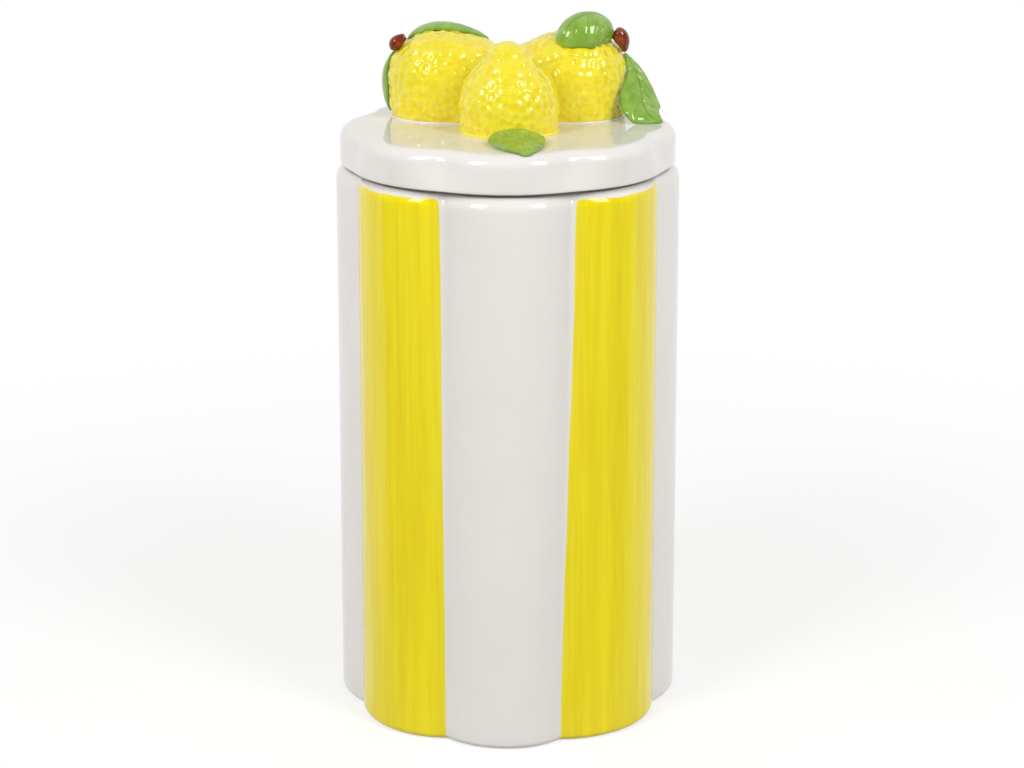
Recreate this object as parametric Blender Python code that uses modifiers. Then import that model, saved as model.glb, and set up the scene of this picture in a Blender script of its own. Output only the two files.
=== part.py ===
"""A ceramic storage canister: a scalloped jar, its lid with a silicone seal, and a finial of lemons.

Metres, +Z up. The origin is the centre of the foot ring's underside, and -Y is the front.
The jar and the lid are turned and then pressed into lobes. The lemons are hollow castings, luted
onto the lid, and the leaves are rolled clay draped over the fruit.
"""

import math

import bmesh
import bpy
from mathutils import Vector
from mathutils.bvhtree import BVHTree

# Gaps between separate pieces, and how far a cutter runs past what it cuts
JOINT_GAP = 0.0003
CUT_OVERRUN = 0.004
MERGE_DISTANCE = 0.00001

# The jar's wall
LOBE_COUNT = 8
STEPS_PER_LOBE = 6
JAR_HEIGHT = 0.196
RIM_TIP_RADIUS = 0.060
FOOT_TIP_RADIUS = 0.0612
CREASE_DEPTH = 0.0046
WALL_THICKNESS = 0.0045
SHOULDER_ROUND = 0.005
FOOT_ROUND = 0.0025
FLOOR_THICKNESS = 0.006
FLOOR_ROUND = 0.006
FOOT_RECESS_RADIUS = 0.044
FOOT_RECESS_DEPTH = 0.0015

# The jar's mouth
MOUTH_RADIUS = 0.047
MOUTH_LIP_ROUND = 0.0015
NECK_LAND = 0.010
NECK_SLOPE = 0.007

# The lid
LID_TIP_RADIUS = 0.0585
LID_CREASE_DEPTH = 0.0042
LID_HEIGHT = 0.0135
LID_TOP_ROUND = 0.0045
LID_LOWER_ROUND = 0.0014
LID_LOWER_CREASE_SHARE = 0.3
LID_WALL = 0.0045
LID_CEILING_ROUND = 0.004
PLUG_CLEARANCE = 0.0012
PLUG_DEPTH = 0.012
PLUG_WALL = 0.0055
PLUG_CHAMFER = 0.001
GROOVE_DROP = 0.003
GROOVE_HEIGHT = 0.0045
GROOVE_DEPTH = 0.0022

# The seal's ring and its two fins
SEAL_BAND = 0.0014
SEAL_FIN_THICKNESS = 0.0009
SEAL_FIN_DROOP = 0.0006

# The lemons: their length, greatest radius and wall, and how far the foot draws in
LEMON_LENGTH = 0.046
LEMON_RADIUS = 0.0174
LEMON_WALL = 0.004
LEMON_FOOT_SHARE = 0.95
LEMON_STEPS = 24
VENT_RADIUS = 0.002
VENT_SIDES = 12

# Each lemon's outline from the stem end to the nipple, as shares of its length and its radius
UPRIGHT_LEMON_SHARES = (
    (0.0, 0.0), (0.03, 0.36), (0.09, 0.60), (0.17, 0.80), (0.28, 0.94), (0.46, 1.0), (0.58, 0.98),
    (0.69, 0.89), (0.765, 0.755), (0.81, 0.65), (0.855, 0.545), (0.90, 0.43), (0.95, 0.32),
    (0.98, 0.19), (1.0, 0.0),
)
LYING_LEMON_SHARES = (
    (0.0, 0.0), (0.012, 0.22), (0.04, 0.38), (0.09, 0.57), (0.16, 0.755), (0.25, 0.89), (0.36, 0.97),
    (0.48, 1.0), (0.60, 0.99), (0.71, 0.95), (0.80, 0.87), (0.875, 0.735), (0.935, 0.55),
    (0.975, 0.35), (1.0, 0.0),
)

# Each lemon's widest point, right, back and up from the middle of the lid's top, and the way
# that its stem end points
FRONT_LEMON_PLACE = (0.0004, -0.0135, 0.0062)
LEFT_LEMON_PLACE = (-0.0204, 0.0135, 0.0128)
RIGHT_LEMON_PLACE = (0.0206, 0.0135, 0.0130)
FRONT_STEM_WAY = (0.03, 0.04, -1.0)
LEFT_STEM_WAY = (-0.97, 0.04, 0.20)
RIGHT_STEM_WAY = (0.95, 0.02, 0.28)

# The leaves: four points along each midrib, in lemon radii from the lemon's widest point. The
# power that the share along the midrib is raised to moves the widest place towards the tip, and
# a small pointed power makes both ends blunt.
LEAF_MARGIN = 0.0009
LEAF_END_SHARE = 0.10
LEAF_WIDEST_POWER = 0.9
LEAF_POINTED_POWER = 1.0
LEAF_GAP = 0.0005
LEAF_LENGTH_CELLS = 8
LEAF_WIDTH_CELLS = 6
LEAF_THICKNESS = 0.0026
LEFT_BACK_LEAF_WIDTH = 0.0145
LEFT_BACK_MIDRIB_SHARES = (
    (-0.84, 0.18, 0.76), (-0.40, 0.32, 0.97), (0.34, 0.34, 0.98), (0.80, 0.24, 0.77),
)
LEFT_BACK_THICKNESS = 0.0034
LEFT_SIDE_LEAF_WIDTH = 0.0130
LEFT_SIDE_THICKNESS = 0.0030
LEFT_SIDE_WIDEST_POWER = 1.1
LEFT_SIDE_MIDRIB_SHARES = (
    (-1.05, 0.16, 0.60), (-1.24, 0.19, 0.19), (-1.26, 0.19, -0.27), (-1.25, 0.14, -0.69),
)
CAP_LEAF_WIDTH = 0.0205
CAP_LEAF_THICKNESS = 0.0078
CAP_WIDEST_POWER = 1.0
CAP_POINTED_POWER = 0.5
CAP_MIDRIB_SHARES = (
    (0.97, -0.15, 0.88), (0.65, -0.18, 1.05), (0.27, -0.31, 1.00), (-0.14, -0.62, 0.76),
)
RIGHT_SIDE_LEAF_WIDTH = 0.0168
RIGHT_SIDE_WIDEST_POWER = 1.5
RIGHT_SIDE_FACING = (0.50, -0.75, 0.45)
RIGHT_SIDE_MIDRIB_SHARES = (
    (1.12, -0.10, 0.52), (1.40, -0.32, -0.04), (1.47, -0.62, -0.50), (1.90, -0.92, -0.75),
)
FRONT_LEAF_WIDTH = 0.0195
FRONT_FACING = (0.0, -0.12, 1.0)
FRONT_WIDEST_POWER = 0.78
FRONT_MIDRIB_SHARES = (
    (0.06, -0.98, -0.16), (0.13, -1.36, -0.28), (0.23, -1.86, -0.34), (0.33, -2.44, -0.40),
)

# The stems: points in lemon radii from the lemon's widest point, each with a share of the radius
STEM_RADIUS = 0.0021
STEM_SIDES_RESOLUTION = 2
LEFT_STEM_SHARES = (
    ((-0.88, -0.08, 0.88), 0.6), ((-1.00, -0.08, 0.81), 1.0), ((-1.08, -0.08, 0.73), 1.15),
    ((-1.09, -0.08, 0.60), 0.75),
)
RIGHT_STEM_SHARES = (
    ((1.03, -0.24, 0.99), 0.55), ((1.10, -0.22, 0.93), 0.95), ((1.15, -0.20, 0.82), 0.95),
    ((1.17, -0.18, 0.71), 0.6), ((1.15, -0.16, 0.58), 0.35),
)

# Finishes: colour, roughness
WHITE_GLAZE = ((0.80, 0.77, 0.73), 0.12)
YELLOW_GLAZE = ((0.82, 0.66, 0.03), 0.12)
LEAF_GLAZE = ((0.27, 0.45, 0.09), 0.15)
STEM_GLAZE = ((0.16, 0.03, 0.01), 0.15)
SEAL_SILICONE = ((0.80, 0.80, 0.78), 0.45)


# Sizes that follow from the ones above
LID_SEAT = JAR_HEIGHT + JOINT_GAP
LID_TOP = LID_SEAT + LID_HEIGHT
LID_CEILING = LID_TOP - LID_WALL
PLUG_RADIUS = MOUTH_RADIUS - PLUG_CLEARANCE
GROOVE_RADIUS = PLUG_RADIUS - GROOVE_DEPTH
GROOVE_TOP = LID_SEAT - GROOVE_DROP
GROOVE_BOTTOM = GROOVE_TOP - GROOVE_HEIGHT
TURN_STEPS = LOBE_COUNT * STEPS_PER_LOBE


def clear_scene():
    for item in list(bpy.data.objects):
        bpy.data.objects.remove(item)


def make_collection(name):
    collection = bpy.data.collections.new(name)
    bpy.context.scene.collection.children.link(collection)
    return collection


def make_material(name, finish):
    colour, roughness = finish
    material = bpy.data.materials.new(name)
    material.use_nodes = True
    shader = material.node_tree.nodes["Principled BSDF"]
    shader.inputs["Base Color"].default_value = (*colour, 1.0)
    shader.inputs["Roughness"].default_value = roughness
    shader.inputs["Metallic"].default_value = 0.0
    material.diffuse_color = (*colour, 1.0)
    return material


def add_object(name, data, collection, material=None):
    item = bpy.data.objects.new(name, data)
    collection.objects.link(item)
    if material:
        data.materials.append(material)
    return item


def round_corner(centre_r, centre_z, radius, start, end, pieces=3):
    """Points along a corner's arc, in degrees from the outward direction, as (radius, height)."""
    points = []
    for i in range(pieces + 1):
        angle = math.radians(start + (end - start) * i / pieces)
        points.append((centre_r + radius * math.cos(angle), centre_z + radius * math.sin(angle)))
    return points


def turned_mesh(name, profile, steps):
    """A profile of (radius, height) turned about Z. It runs down its outer side."""
    mesh = bpy.data.meshes.new(name + "_profile")
    points = [(radius, 0.0, height) for radius, height in profile]
    closed = profile[0][0] > MERGE_DISTANCE
    edges = [(i, i + 1) for i in range(len(points) - 1)]
    if closed:
        edges.append((len(points) - 1, 0))
    mesh.from_pydata(points, edges, [])
    lathe = bpy.data.objects.new(name + "_lathe", mesh)
    bpy.context.scene.collection.objects.link(lathe)
    screw = lathe.modifiers.new("Turn", "SCREW")
    screw.steps = steps
    screw.render_steps = steps
    screw.use_merge_vertices = True
    screw.merge_threshold = MERGE_DISTANCE
    graph = bpy.context.evaluated_depsgraph_get()
    turned = bpy.data.meshes.new_from_object(lathe.evaluated_get(graph))
    turned.name = name
    bpy.data.objects.remove(lathe)
    shell = bmesh.new()
    shell.from_mesh(turned)
    bmesh.ops.remove_doubles(shell, verts=shell.verts, dist=MERGE_DISTANCE)
    bmesh.ops.recalc_face_normals(shell, faces=shell.faces)
    shell.to_mesh(turned)
    shell.free()
    return turned


def lobed_radius(angle, tip_radius, crease_depth):
    """The outline's radius at an angle: equal arcs, one to a lobe, that meet in creases."""
    half = math.pi / LOBE_COUNT
    crease_radius = tip_radius - crease_depth
    centre = (tip_radius**2 - crease_radius**2) / (2 * (tip_radius - crease_radius * math.cos(half)))
    arc_radius = tip_radius - centre
    turn = (angle + half) % (2 * half) - half
    return centre * math.cos(turn) + math.sqrt(arc_radius**2 - (centre * math.sin(turn)) ** 2)


def press_lobes(mesh, tip_radius, crease_depth, round_to, full_from, share_at=None):
    """Presses a turned mesh into lobes: not at all inside round_to, and fully outside full_from.

    share_at gives the share of the crease's depth at a height.
    """
    for vertex in mesh.vertices:
        radius = math.hypot(vertex.co.x, vertex.co.y)
        share = min(max((radius - round_to) / (full_from - round_to), 0.0), 1.0)
        if share_at:
            share *= share_at(vertex.co.z)
        if share > 0.0:
            angle = math.atan2(vertex.co.y, vertex.co.x)
            dent = tip_radius - lobed_radius(angle, tip_radius, crease_depth)
            scale = (radius - share * dent) / radius
            vertex.co.x *= scale
            vertex.co.y *= scale


def smooth_round(mesh, crease_angle=40):
    mesh.shade_smooth()
    mesh.set_sharp_from_angle(angle=math.radians(crease_angle))


def cut(item, cutter, name):
    boolean = item.modifiers.new(name, "BOOLEAN")
    boolean.operation = "DIFFERENCE"
    boolean.solver = "EXACT"
    boolean.object = cutter


def make_cutter(name, data, collection):
    cutter = add_object(name, data, collection)
    cutter.hide_render = True
    cutter.display_type = "WIRE"
    return cutter


# The jar: one slip-cast shell with a flat foot ring, an even wall and a round mouth
def jar_profile():
    inner_rim = RIM_TIP_RADIUS - WALL_THICKNESS
    inner_foot = FOOT_TIP_RADIUS - WALL_THICKNESS
    neck_bottom = JAR_HEIGHT - NECK_LAND
    points = [(0.0, FLOOR_THICKNESS)]
    points += round_corner(inner_foot - FLOOR_ROUND, FLOOR_THICKNESS + FLOOR_ROUND, FLOOR_ROUND, -90, 0)
    points.append((inner_rim, neck_bottom - NECK_SLOPE))
    points.append((MOUTH_RADIUS, neck_bottom))
    lip_centre = (MOUTH_RADIUS + MOUTH_LIP_ROUND, JAR_HEIGHT - MOUTH_LIP_ROUND)
    points += round_corner(*lip_centre, MOUTH_LIP_ROUND, 180, 90)
    shoulder_centre = (RIM_TIP_RADIUS - SHOULDER_ROUND, JAR_HEIGHT - SHOULDER_ROUND)
    points += round_corner(*shoulder_centre, SHOULDER_ROUND, 90, 0, 4)
    points += round_corner(FOOT_TIP_RADIUS - FOOT_ROUND, FOOT_ROUND, FOOT_ROUND, 0, -90)
    points.append((FOOT_RECESS_RADIUS, 0.0))
    points.append((FOOT_RECESS_RADIUS - FOOT_RECESS_DEPTH, FOOT_RECESS_DEPTH))
    points.append((0.0, FOOT_RECESS_DEPTH))
    return points


def make_jar(collection, material):
    mesh = turned_mesh("canister_body", jar_profile(), TURN_STEPS)
    press_lobes(
        mesh, RIM_TIP_RADIUS, CREASE_DEPTH, MOUTH_RADIUS + MOUTH_LIP_ROUND, RIM_TIP_RADIUS - WALL_THICKNESS
    )
    smooth_round(mesh)
    return add_object("canister_body", mesh, collection, material)


# The lid: a scalloped plate, hollow below, with a round plug that is grooved for the seal
def lid_profile():
    plug_bottom = LID_SEAT - PLUG_DEPTH
    plug_inner = PLUG_RADIUS - PLUG_WALL
    points = [(0.0, LID_TOP)]
    top_centre = (LID_TIP_RADIUS - LID_TOP_ROUND, LID_TOP - LID_TOP_ROUND)
    points += round_corner(*top_centre, LID_TOP_ROUND, 90, 0, 4)
    lower_centre = (LID_TIP_RADIUS - LID_LOWER_ROUND, LID_SEAT + LID_LOWER_ROUND)
    points += round_corner(*lower_centre, LID_LOWER_ROUND, 0, -90)
    points.append((PLUG_RADIUS, LID_SEAT))
    points.append((PLUG_RADIUS, GROOVE_TOP))
    points.append((GROOVE_RADIUS, GROOVE_TOP))
    points.append((GROOVE_RADIUS, GROOVE_BOTTOM))
    points.append((PLUG_RADIUS, GROOVE_BOTTOM))
    points.append((PLUG_RADIUS, plug_bottom + PLUG_CHAMFER))
    points.append((PLUG_RADIUS - PLUG_CHAMFER, plug_bottom))
    points.append((plug_inner, plug_bottom))
    corner_r = plug_inner - LID_CEILING_ROUND
    corner_z = LID_CEILING - LID_CEILING_ROUND
    points += round_corner(corner_r, corner_z, LID_CEILING_ROUND, 0, 90)
    points.append((0.0, LID_CEILING))
    return points


def lid_crease_share(height):
    """The lid's creases fade on their way down its side."""
    rise = min(max((height - LID_SEAT) / (LID_HEIGHT - LID_TOP_ROUND), 0.0), 1.0)
    return LID_LOWER_CREASE_SHARE + (1 - LID_LOWER_CREASE_SHARE) * rise


def make_lid(collection, material):
    mesh = turned_mesh("lid", lid_profile(), TURN_STEPS)
    press_lobes(
        mesh, LID_TIP_RADIUS, LID_CREASE_DEPTH, PLUG_RADIUS, LID_TIP_RADIUS - LID_TOP_ROUND, lid_crease_share
    )
    smooth_round(mesh)
    return add_object("lid", mesh, collection, material)


# The seal: a silicone band in the plug's groove, with two fins that brush the mouth
def seal_profile():
    inner = GROOVE_RADIUS + JOINT_GAP
    band = inner + SEAL_BAND
    fin_tip = MOUTH_RADIUS - JOINT_GAP
    top = GROOVE_TOP - JOINT_GAP
    bottom = GROOVE_BOTTOM + JOINT_GAP
    middle = (top + bottom) / 2
    return [
        (inner, top),
        (band, top),
        (fin_tip, top - SEAL_FIN_DROOP),
        (fin_tip, top - SEAL_FIN_DROOP - SEAL_FIN_THICKNESS),
        (band, middle),
        (fin_tip, bottom + SEAL_FIN_THICKNESS),
        (fin_tip, bottom),
        (inner, bottom),
    ]


def make_seal(collection, material):
    mesh = turned_mesh("seal_ring", seal_profile(), TURN_STEPS)
    smooth_round(mesh, 30)
    return add_object("seal_ring", mesh, collection, material)


# The lemons: they have no undercut, so below its widest line each one runs down to the lid
class Lemon:
    """Where a lemon lies on the lid, its outline, and the fruit that it must keep clear of."""

    def __init__(self, name, place, stem_way, outline_shares):
        self.name = name
        self.centre = Vector(place) + Vector((0.0, 0.0, LID_TOP))
        self.stem_way = Vector(stem_way).normalized()
        self.outline_shares = outline_shares
        self.waist_share = max(outline_shares, key=lambda spot: spot[1])[0]
        self.cutter = None
        self.tree = None

    def mesh(self, name, foot_height, skin=0.0):
        """The fruit around its widest point, grown by skin, down to a height above the origin."""
        length = LEMON_LENGTH + 2 * skin
        radius = LEMON_RADIUS + skin
        waist = self.waist_share * length
        profile = [(r * radius, l * length - waist) for l, r in reversed(self.outline_shares)]
        mesh = turned_mesh(name, profile, LEMON_STEPS)
        mesh.transform((-self.stem_way).to_track_quat("Z", "Y").to_matrix().to_4x4())
        shell = bmesh.new()
        shell.from_mesh(mesh)
        bmesh.ops.bisect_plane(
            shell,
            geom=shell.verts[:] + shell.edges[:] + shell.faces[:],
            dist=MERGE_DISTANCE,
            plane_co=(0.0, 0.0, 0.0),
            plane_no=self.widest_plane(length / 2, radius),
            clear_inner=True,
        )
        rim = [edge for edge in shell.edges if edge.is_boundary]
        skirt = bmesh.ops.extrude_edge_only(shell, edges=rim)["geom"]
        for vertex in skirt:
            if isinstance(vertex, bmesh.types.BMVert):
                vertex.co.x *= LEMON_FOOT_SHARE
                vertex.co.y *= LEMON_FOOT_SHARE
                vertex.co.z = foot_height - self.centre.z
        hem = [edge for edge in skirt if isinstance(edge, bmesh.types.BMEdge)]
        bmesh.ops.holes_fill(shell, edges=hem)
        bmesh.ops.recalc_face_normals(shell, faces=shell.faces)
        shell.to_mesh(mesh)
        shell.free()
        return mesh

    def widest_plane(self, half_length, radius):
        """The plane through the fruit's widest line as seen from above, taking it as an ellipsoid."""
        lean = self.stem_way * self.stem_way.z * (1 / radius**2 - 1 / half_length**2)
        return (Vector((0.0, 0.0, 1 / radius**2)) - lean).normalized()

    def push_out(self, point, lift, hug=False):
        """Moves a point in the fruit out to lift above it. With hug, a point outside comes in too."""
        near, normal, _, _ = self.tree.find_nearest(point - self.centre)
        if hug or (point - self.centre - near).dot(normal) < lift:
            return self.centre + near + normal * lift
        return point


def vent_mesh(name, lemon):
    """A kiln vent, straight up through the lid's ceiling into the lemon's hollow."""
    mesh = bpy.data.meshes.new(name)
    rod = bmesh.new()
    bottom = LID_CEILING - CUT_OVERRUN
    top = LID_TOP + CUT_OVERRUN
    bmesh.ops.create_cone(
        rod, cap_ends=True, segments=VENT_SIDES, radius1=VENT_RADIUS, radius2=VENT_RADIUS, depth=top - bottom
    )
    bmesh.ops.translate(rod, verts=rod.verts, vec=(lemon.centre.x, lemon.centre.y, (top + bottom) / 2))
    rod.to_mesh(mesh)
    rod.free()
    return mesh


def make_lemons(lemons, lid, collection, cutters, material):
    """Each lemon is a hollow casting, open below, and trimmed to the lemons made before it."""
    foot = LID_TOP + JOINT_GAP
    below = LID_TOP - CUT_OVERRUN
    for i, lemon in enumerate(lemons):
        mesh = lemon.mesh(lemon.name, foot)
        smooth_round(mesh, 50)
        shape = bmesh.new()
        shape.from_mesh(mesh)
        lemon.tree = BVHTree.FromBMesh(shape)
        shape.free()
        fruit = add_object(lemon.name, mesh, collection, material)
        fruit.location = lemon.centre
        hollow_name = lemon.name + "_hollow"
        hollow = make_cutter(hollow_name, lemon.mesh(hollow_name, below, -LEMON_WALL), cutters)
        hollow.location = lemon.centre
        cut(fruit, hollow, "Hollow")
        grown_name = lemon.name + "_grown"
        lemon.cutter = make_cutter(grown_name, lemon.mesh(grown_name, below, JOINT_GAP), cutters)
        lemon.cutter.location = lemon.centre
        for neighbour in lemons[:i]:
            cut(fruit, neighbour.cutter, neighbour.name)
        vent = make_cutter(lemon.name + "_vent", vent_mesh(lemon.name + "_vent", lemon), cutters)
        cut(lid, vent, lemon.name + "_vent")


# The leaves: sheets of clay draped over the fruit and the lid, thick at the midrib
def between(points, share):
    """A point on the smooth curve through four points, spaced evenly from 0 to 1."""
    total = Vector((0.0, 0.0, 0.0))
    last = len(points) - 1
    for i, point in enumerate(points):
        weight = 1.0
        for j in range(len(points)):
            if j != i:
                weight *= (share * last - j) / (i - j)
        total += point * weight
    return total


def lid_surface(point):
    """The height of the lid's top, or of its rounded edge, under a point."""
    angle = math.atan2(point.y, point.x)
    edge = lobed_radius(angle, LID_TIP_RADIUS, LID_CREASE_DEPTH)
    past_flat = math.hypot(point.x, point.y) - (edge - LID_TOP_ROUND)
    if past_flat <= 0.0:
        return LID_TOP
    reach = min(past_flat, LID_TOP_ROUND)
    return LID_TOP - LID_TOP_ROUND + math.sqrt(LID_TOP_ROUND**2 - reach**2)


def drape(point, lemons, lift, hugged=None):
    for lemon in lemons:
        point = lemon.push_out(point, lift, lemon is hugged)
    floor = lid_surface(point) + lift
    return Vector((point.x, point.y, max(point.z, floor)))


def make_leaf(
    name, lemon, midrib_shares, width, thickness, lemons, collection, material,
    facing=None, widest_power=LEAF_WIDEST_POWER, pointed_power=LEAF_POINTED_POWER,
):
    """A leaf from its stalk to its tip. It hugs the lemon, or stands free and faces a way of its own."""
    bpy.ops.mesh.primitive_grid_add(
        x_subdivisions=LEAF_LENGTH_CELLS, y_subdivisions=LEAF_WIDTH_CELLS, size=2.0
    )
    leaf = bpy.context.object
    leaf.name = name
    leaf.data.name = name
    midrib = [lemon.centre + Vector(share) * LEMON_RADIUS for share in midrib_shares]
    thick = leaf.vertex_groups.new(name="thick")
    step = 1 / (2 * LEAF_LENGTH_CELLS)
    for vertex in leaf.data.vertices:
        along = (vertex.co.x + 1.0) / 2
        across = vertex.co.y
        spine = between(midrib, along)
        tangent = (between(midrib, along + step) - between(midrib, along - step)).normalized()
        out = Vector(facing) if facing else spine - lemon.centre
        side = tangent.cross(out).normalized()
        belly = max(math.sin(math.pi * along**widest_power), 0.0) ** pointed_power
        half = width / 2 * (LEAF_END_SHARE + (1 - LEAF_END_SHARE) * belly)
        vertex.co = drape(spine - side * half * across, lemons, LEAF_GAP, None if facing else lemon)
        here = LEAF_MARGIN + (thickness - LEAF_MARGIN) * (1 - across**2) * belly
        thick.add([vertex.index], here / thickness, "REPLACE")
    solidify = leaf.modifiers.new("Clay", "SOLIDIFY")
    solidify.thickness = thickness
    solidify.offset = 1.0
    solidify.vertex_group = thick.name
    leaf.data.shade_smooth()
    leaf.data.materials.append(material)
    for owner in list(leaf.users_collection):
        owner.objects.unlink(leaf)
    collection.objects.link(leaf)
    return leaf


# The stems: short stubs of clay at the stem ends of the two back lemons
def make_stem(name, lemon, shares, collection, material):
    curve = bpy.data.curves.new(name, "CURVE")
    curve.dimensions = "3D"
    curve.bevel_depth = STEM_RADIUS
    curve.bevel_resolution = STEM_SIDES_RESOLUTION
    curve.use_fill_caps = True
    spline = curve.splines.new("POLY")
    spline.points.add(len(shares) - 1)
    for spot, (share, thickness) in zip(spline.points, shares):
        spot.co = (*(Vector(share) * LEMON_RADIUS), 1.0)
        spot.radius = thickness
    wire = add_object(name + "_curve", curve, collection)
    graph = bpy.context.evaluated_depsgraph_get()
    mesh = bpy.data.meshes.new_from_object(wire.evaluated_get(graph))
    mesh.name = name
    bpy.data.objects.remove(wire)
    solid = bmesh.new()
    solid.from_mesh(mesh)
    bmesh.ops.remove_doubles(solid, verts=solid.verts, dist=MERGE_DISTANCE)
    bmesh.ops.recalc_face_normals(solid, faces=solid.faces)
    solid.to_mesh(mesh)
    solid.free()
    stem = add_object(name, mesh, collection, material)
    stem.location = lemon.centre
    mesh.shade_smooth()
    cut(stem, lemon.cutter, lemon.name)
    return stem


def main():
    clear_scene()
    canister = make_collection("lemon_canister")
    cutters = make_collection("cutters")
    white = make_material("white_glaze", WHITE_GLAZE)
    yellow = make_material("yellow_glaze", YELLOW_GLAZE)
    green = make_material("leaf_glaze", LEAF_GLAZE)
    brown = make_material("stem_glaze", STEM_GLAZE)
    silicone = make_material("seal_silicone", SEAL_SILICONE)

    make_jar(canister, white)
    lid = make_lid(canister, white)
    make_seal(canister, silicone)

    front = Lemon("lemon_front", FRONT_LEMON_PLACE, FRONT_STEM_WAY, UPRIGHT_LEMON_SHARES)
    left = Lemon("lemon_left", LEFT_LEMON_PLACE, LEFT_STEM_WAY, LYING_LEMON_SHARES)
    right = Lemon("lemon_right", RIGHT_LEMON_PLACE, RIGHT_STEM_WAY, LYING_LEMON_SHARES)
    lemons = [front, left, right]
    make_lemons(lemons, lid, canister, cutters, yellow)

    make_leaf(
        "leaf_left_back", left, LEFT_BACK_MIDRIB_SHARES, LEFT_BACK_LEAF_WIDTH, LEFT_BACK_THICKNESS,
        lemons, canister, green,
    )
    make_leaf(
        "leaf_left_side", left, LEFT_SIDE_MIDRIB_SHARES, LEFT_SIDE_LEAF_WIDTH, LEFT_SIDE_THICKNESS,
        lemons, canister, green, None, LEFT_SIDE_WIDEST_POWER,
    )
    make_leaf(
        "leaf_right_top", right, CAP_MIDRIB_SHARES, CAP_LEAF_WIDTH, CAP_LEAF_THICKNESS,
        lemons, canister, green, None, CAP_WIDEST_POWER, CAP_POINTED_POWER,
    )
    make_leaf(
        "leaf_right_side", right, RIGHT_SIDE_MIDRIB_SHARES, RIGHT_SIDE_LEAF_WIDTH, LEAF_THICKNESS,
        lemons, canister, green, RIGHT_SIDE_FACING, RIGHT_SIDE_WIDEST_POWER,
    )
    make_leaf(
        "leaf_front", front, FRONT_MIDRIB_SHARES, FRONT_LEAF_WIDTH, LEAF_THICKNESS,
        lemons, canister, green, FRONT_FACING, FRONT_WIDEST_POWER,
    )

    make_stem("stem_left", left, LEFT_STEM_SHARES, canister, brown)
    make_stem("stem_right", right, RIGHT_STEM_SHARES, canister, brown)


main()
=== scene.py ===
# %% [markdown]
# This is a tall scalloped canister of glazed ceramic, with a lid that carries a knob of lemons.
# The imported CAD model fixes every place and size, so it is loaded first and never changed.
# Each piece below is a finer version of one of its solids, in the same metres and the same frame.

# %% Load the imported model
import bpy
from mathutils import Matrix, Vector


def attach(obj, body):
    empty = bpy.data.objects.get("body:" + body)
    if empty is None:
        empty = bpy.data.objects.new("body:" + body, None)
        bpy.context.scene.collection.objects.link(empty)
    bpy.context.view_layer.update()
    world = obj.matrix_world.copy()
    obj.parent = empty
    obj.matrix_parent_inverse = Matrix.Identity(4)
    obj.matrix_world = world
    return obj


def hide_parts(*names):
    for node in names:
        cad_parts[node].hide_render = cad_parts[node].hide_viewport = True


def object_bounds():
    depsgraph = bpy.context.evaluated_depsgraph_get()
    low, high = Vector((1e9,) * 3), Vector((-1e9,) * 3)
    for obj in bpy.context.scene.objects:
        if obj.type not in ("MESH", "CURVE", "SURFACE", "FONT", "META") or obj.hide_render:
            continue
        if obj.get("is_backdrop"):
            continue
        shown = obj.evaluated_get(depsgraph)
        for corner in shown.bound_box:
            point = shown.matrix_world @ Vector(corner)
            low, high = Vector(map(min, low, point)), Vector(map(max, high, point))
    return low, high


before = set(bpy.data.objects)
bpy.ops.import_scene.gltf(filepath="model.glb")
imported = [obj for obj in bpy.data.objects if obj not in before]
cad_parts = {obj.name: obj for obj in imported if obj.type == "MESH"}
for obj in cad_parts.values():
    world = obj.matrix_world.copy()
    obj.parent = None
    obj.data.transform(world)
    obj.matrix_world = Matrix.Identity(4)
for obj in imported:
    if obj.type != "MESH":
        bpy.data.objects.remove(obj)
cad_low, cad_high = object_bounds()

# %% Bring in the other tools
import math
from contextlib import contextmanager
from dataclasses import dataclass
from functools import partialmethod

import bmesh
import bpy
from mathutils import Vector
from mathutils.bvhtree import BVHTree

MERGE_DISTANCE = 0.00001
print("Blender", bpy.app.version_string)

# %% [markdown]
# Both Geometry Nodes and materials are trees of nodes, and most of what they do is arithmetic.
# Some helpers add a node, plug values into it and hand back what comes out. A small class makes
# the arithmetic readable: adding or multiplying two of its values adds the Math node that does it.

# %% A number in a node tree
def set_up(thing, **settings):
    """Sets several settings of a Blender thing and gives it back."""
    for name, value in settings.items():
        setattr(thing, name, value)
    return thing


def plug_in(tree, node, plugs):
    """Plugs values into a node's inputs: a dict by their names, a list in their order."""
    pairs = zip(node.inputs, plugs)
    if isinstance(plugs, dict):
        live = {socket.name: socket for socket in node.inputs if socket.enabled}
        pairs = [(live[name], value) for name, value in plugs.items()]
    for socket, value in pairs:
        value = value.socket if isinstance(value, Value) else value
        if isinstance(value, bpy.types.NodeSocket):
            tree.links.new(value, socket)
        else:
            socket.default_value = value


def add_node(tree, kind, plugs=(), **settings):
    node = set_up(tree.nodes.new(kind), **settings)
    plug_in(tree, node, plugs)
    return node


def result_of(tree, kind, plugs=(), **settings):
    """Adds a node and gives back its first live output."""
    node = add_node(tree, kind, plugs, **settings)
    return next(socket for socket in node.outputs if socket.enabled)


def number(tree, kind, plugs=(), **settings):
    return Value(tree, result_of(tree, kind, plugs, **settings))


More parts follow.
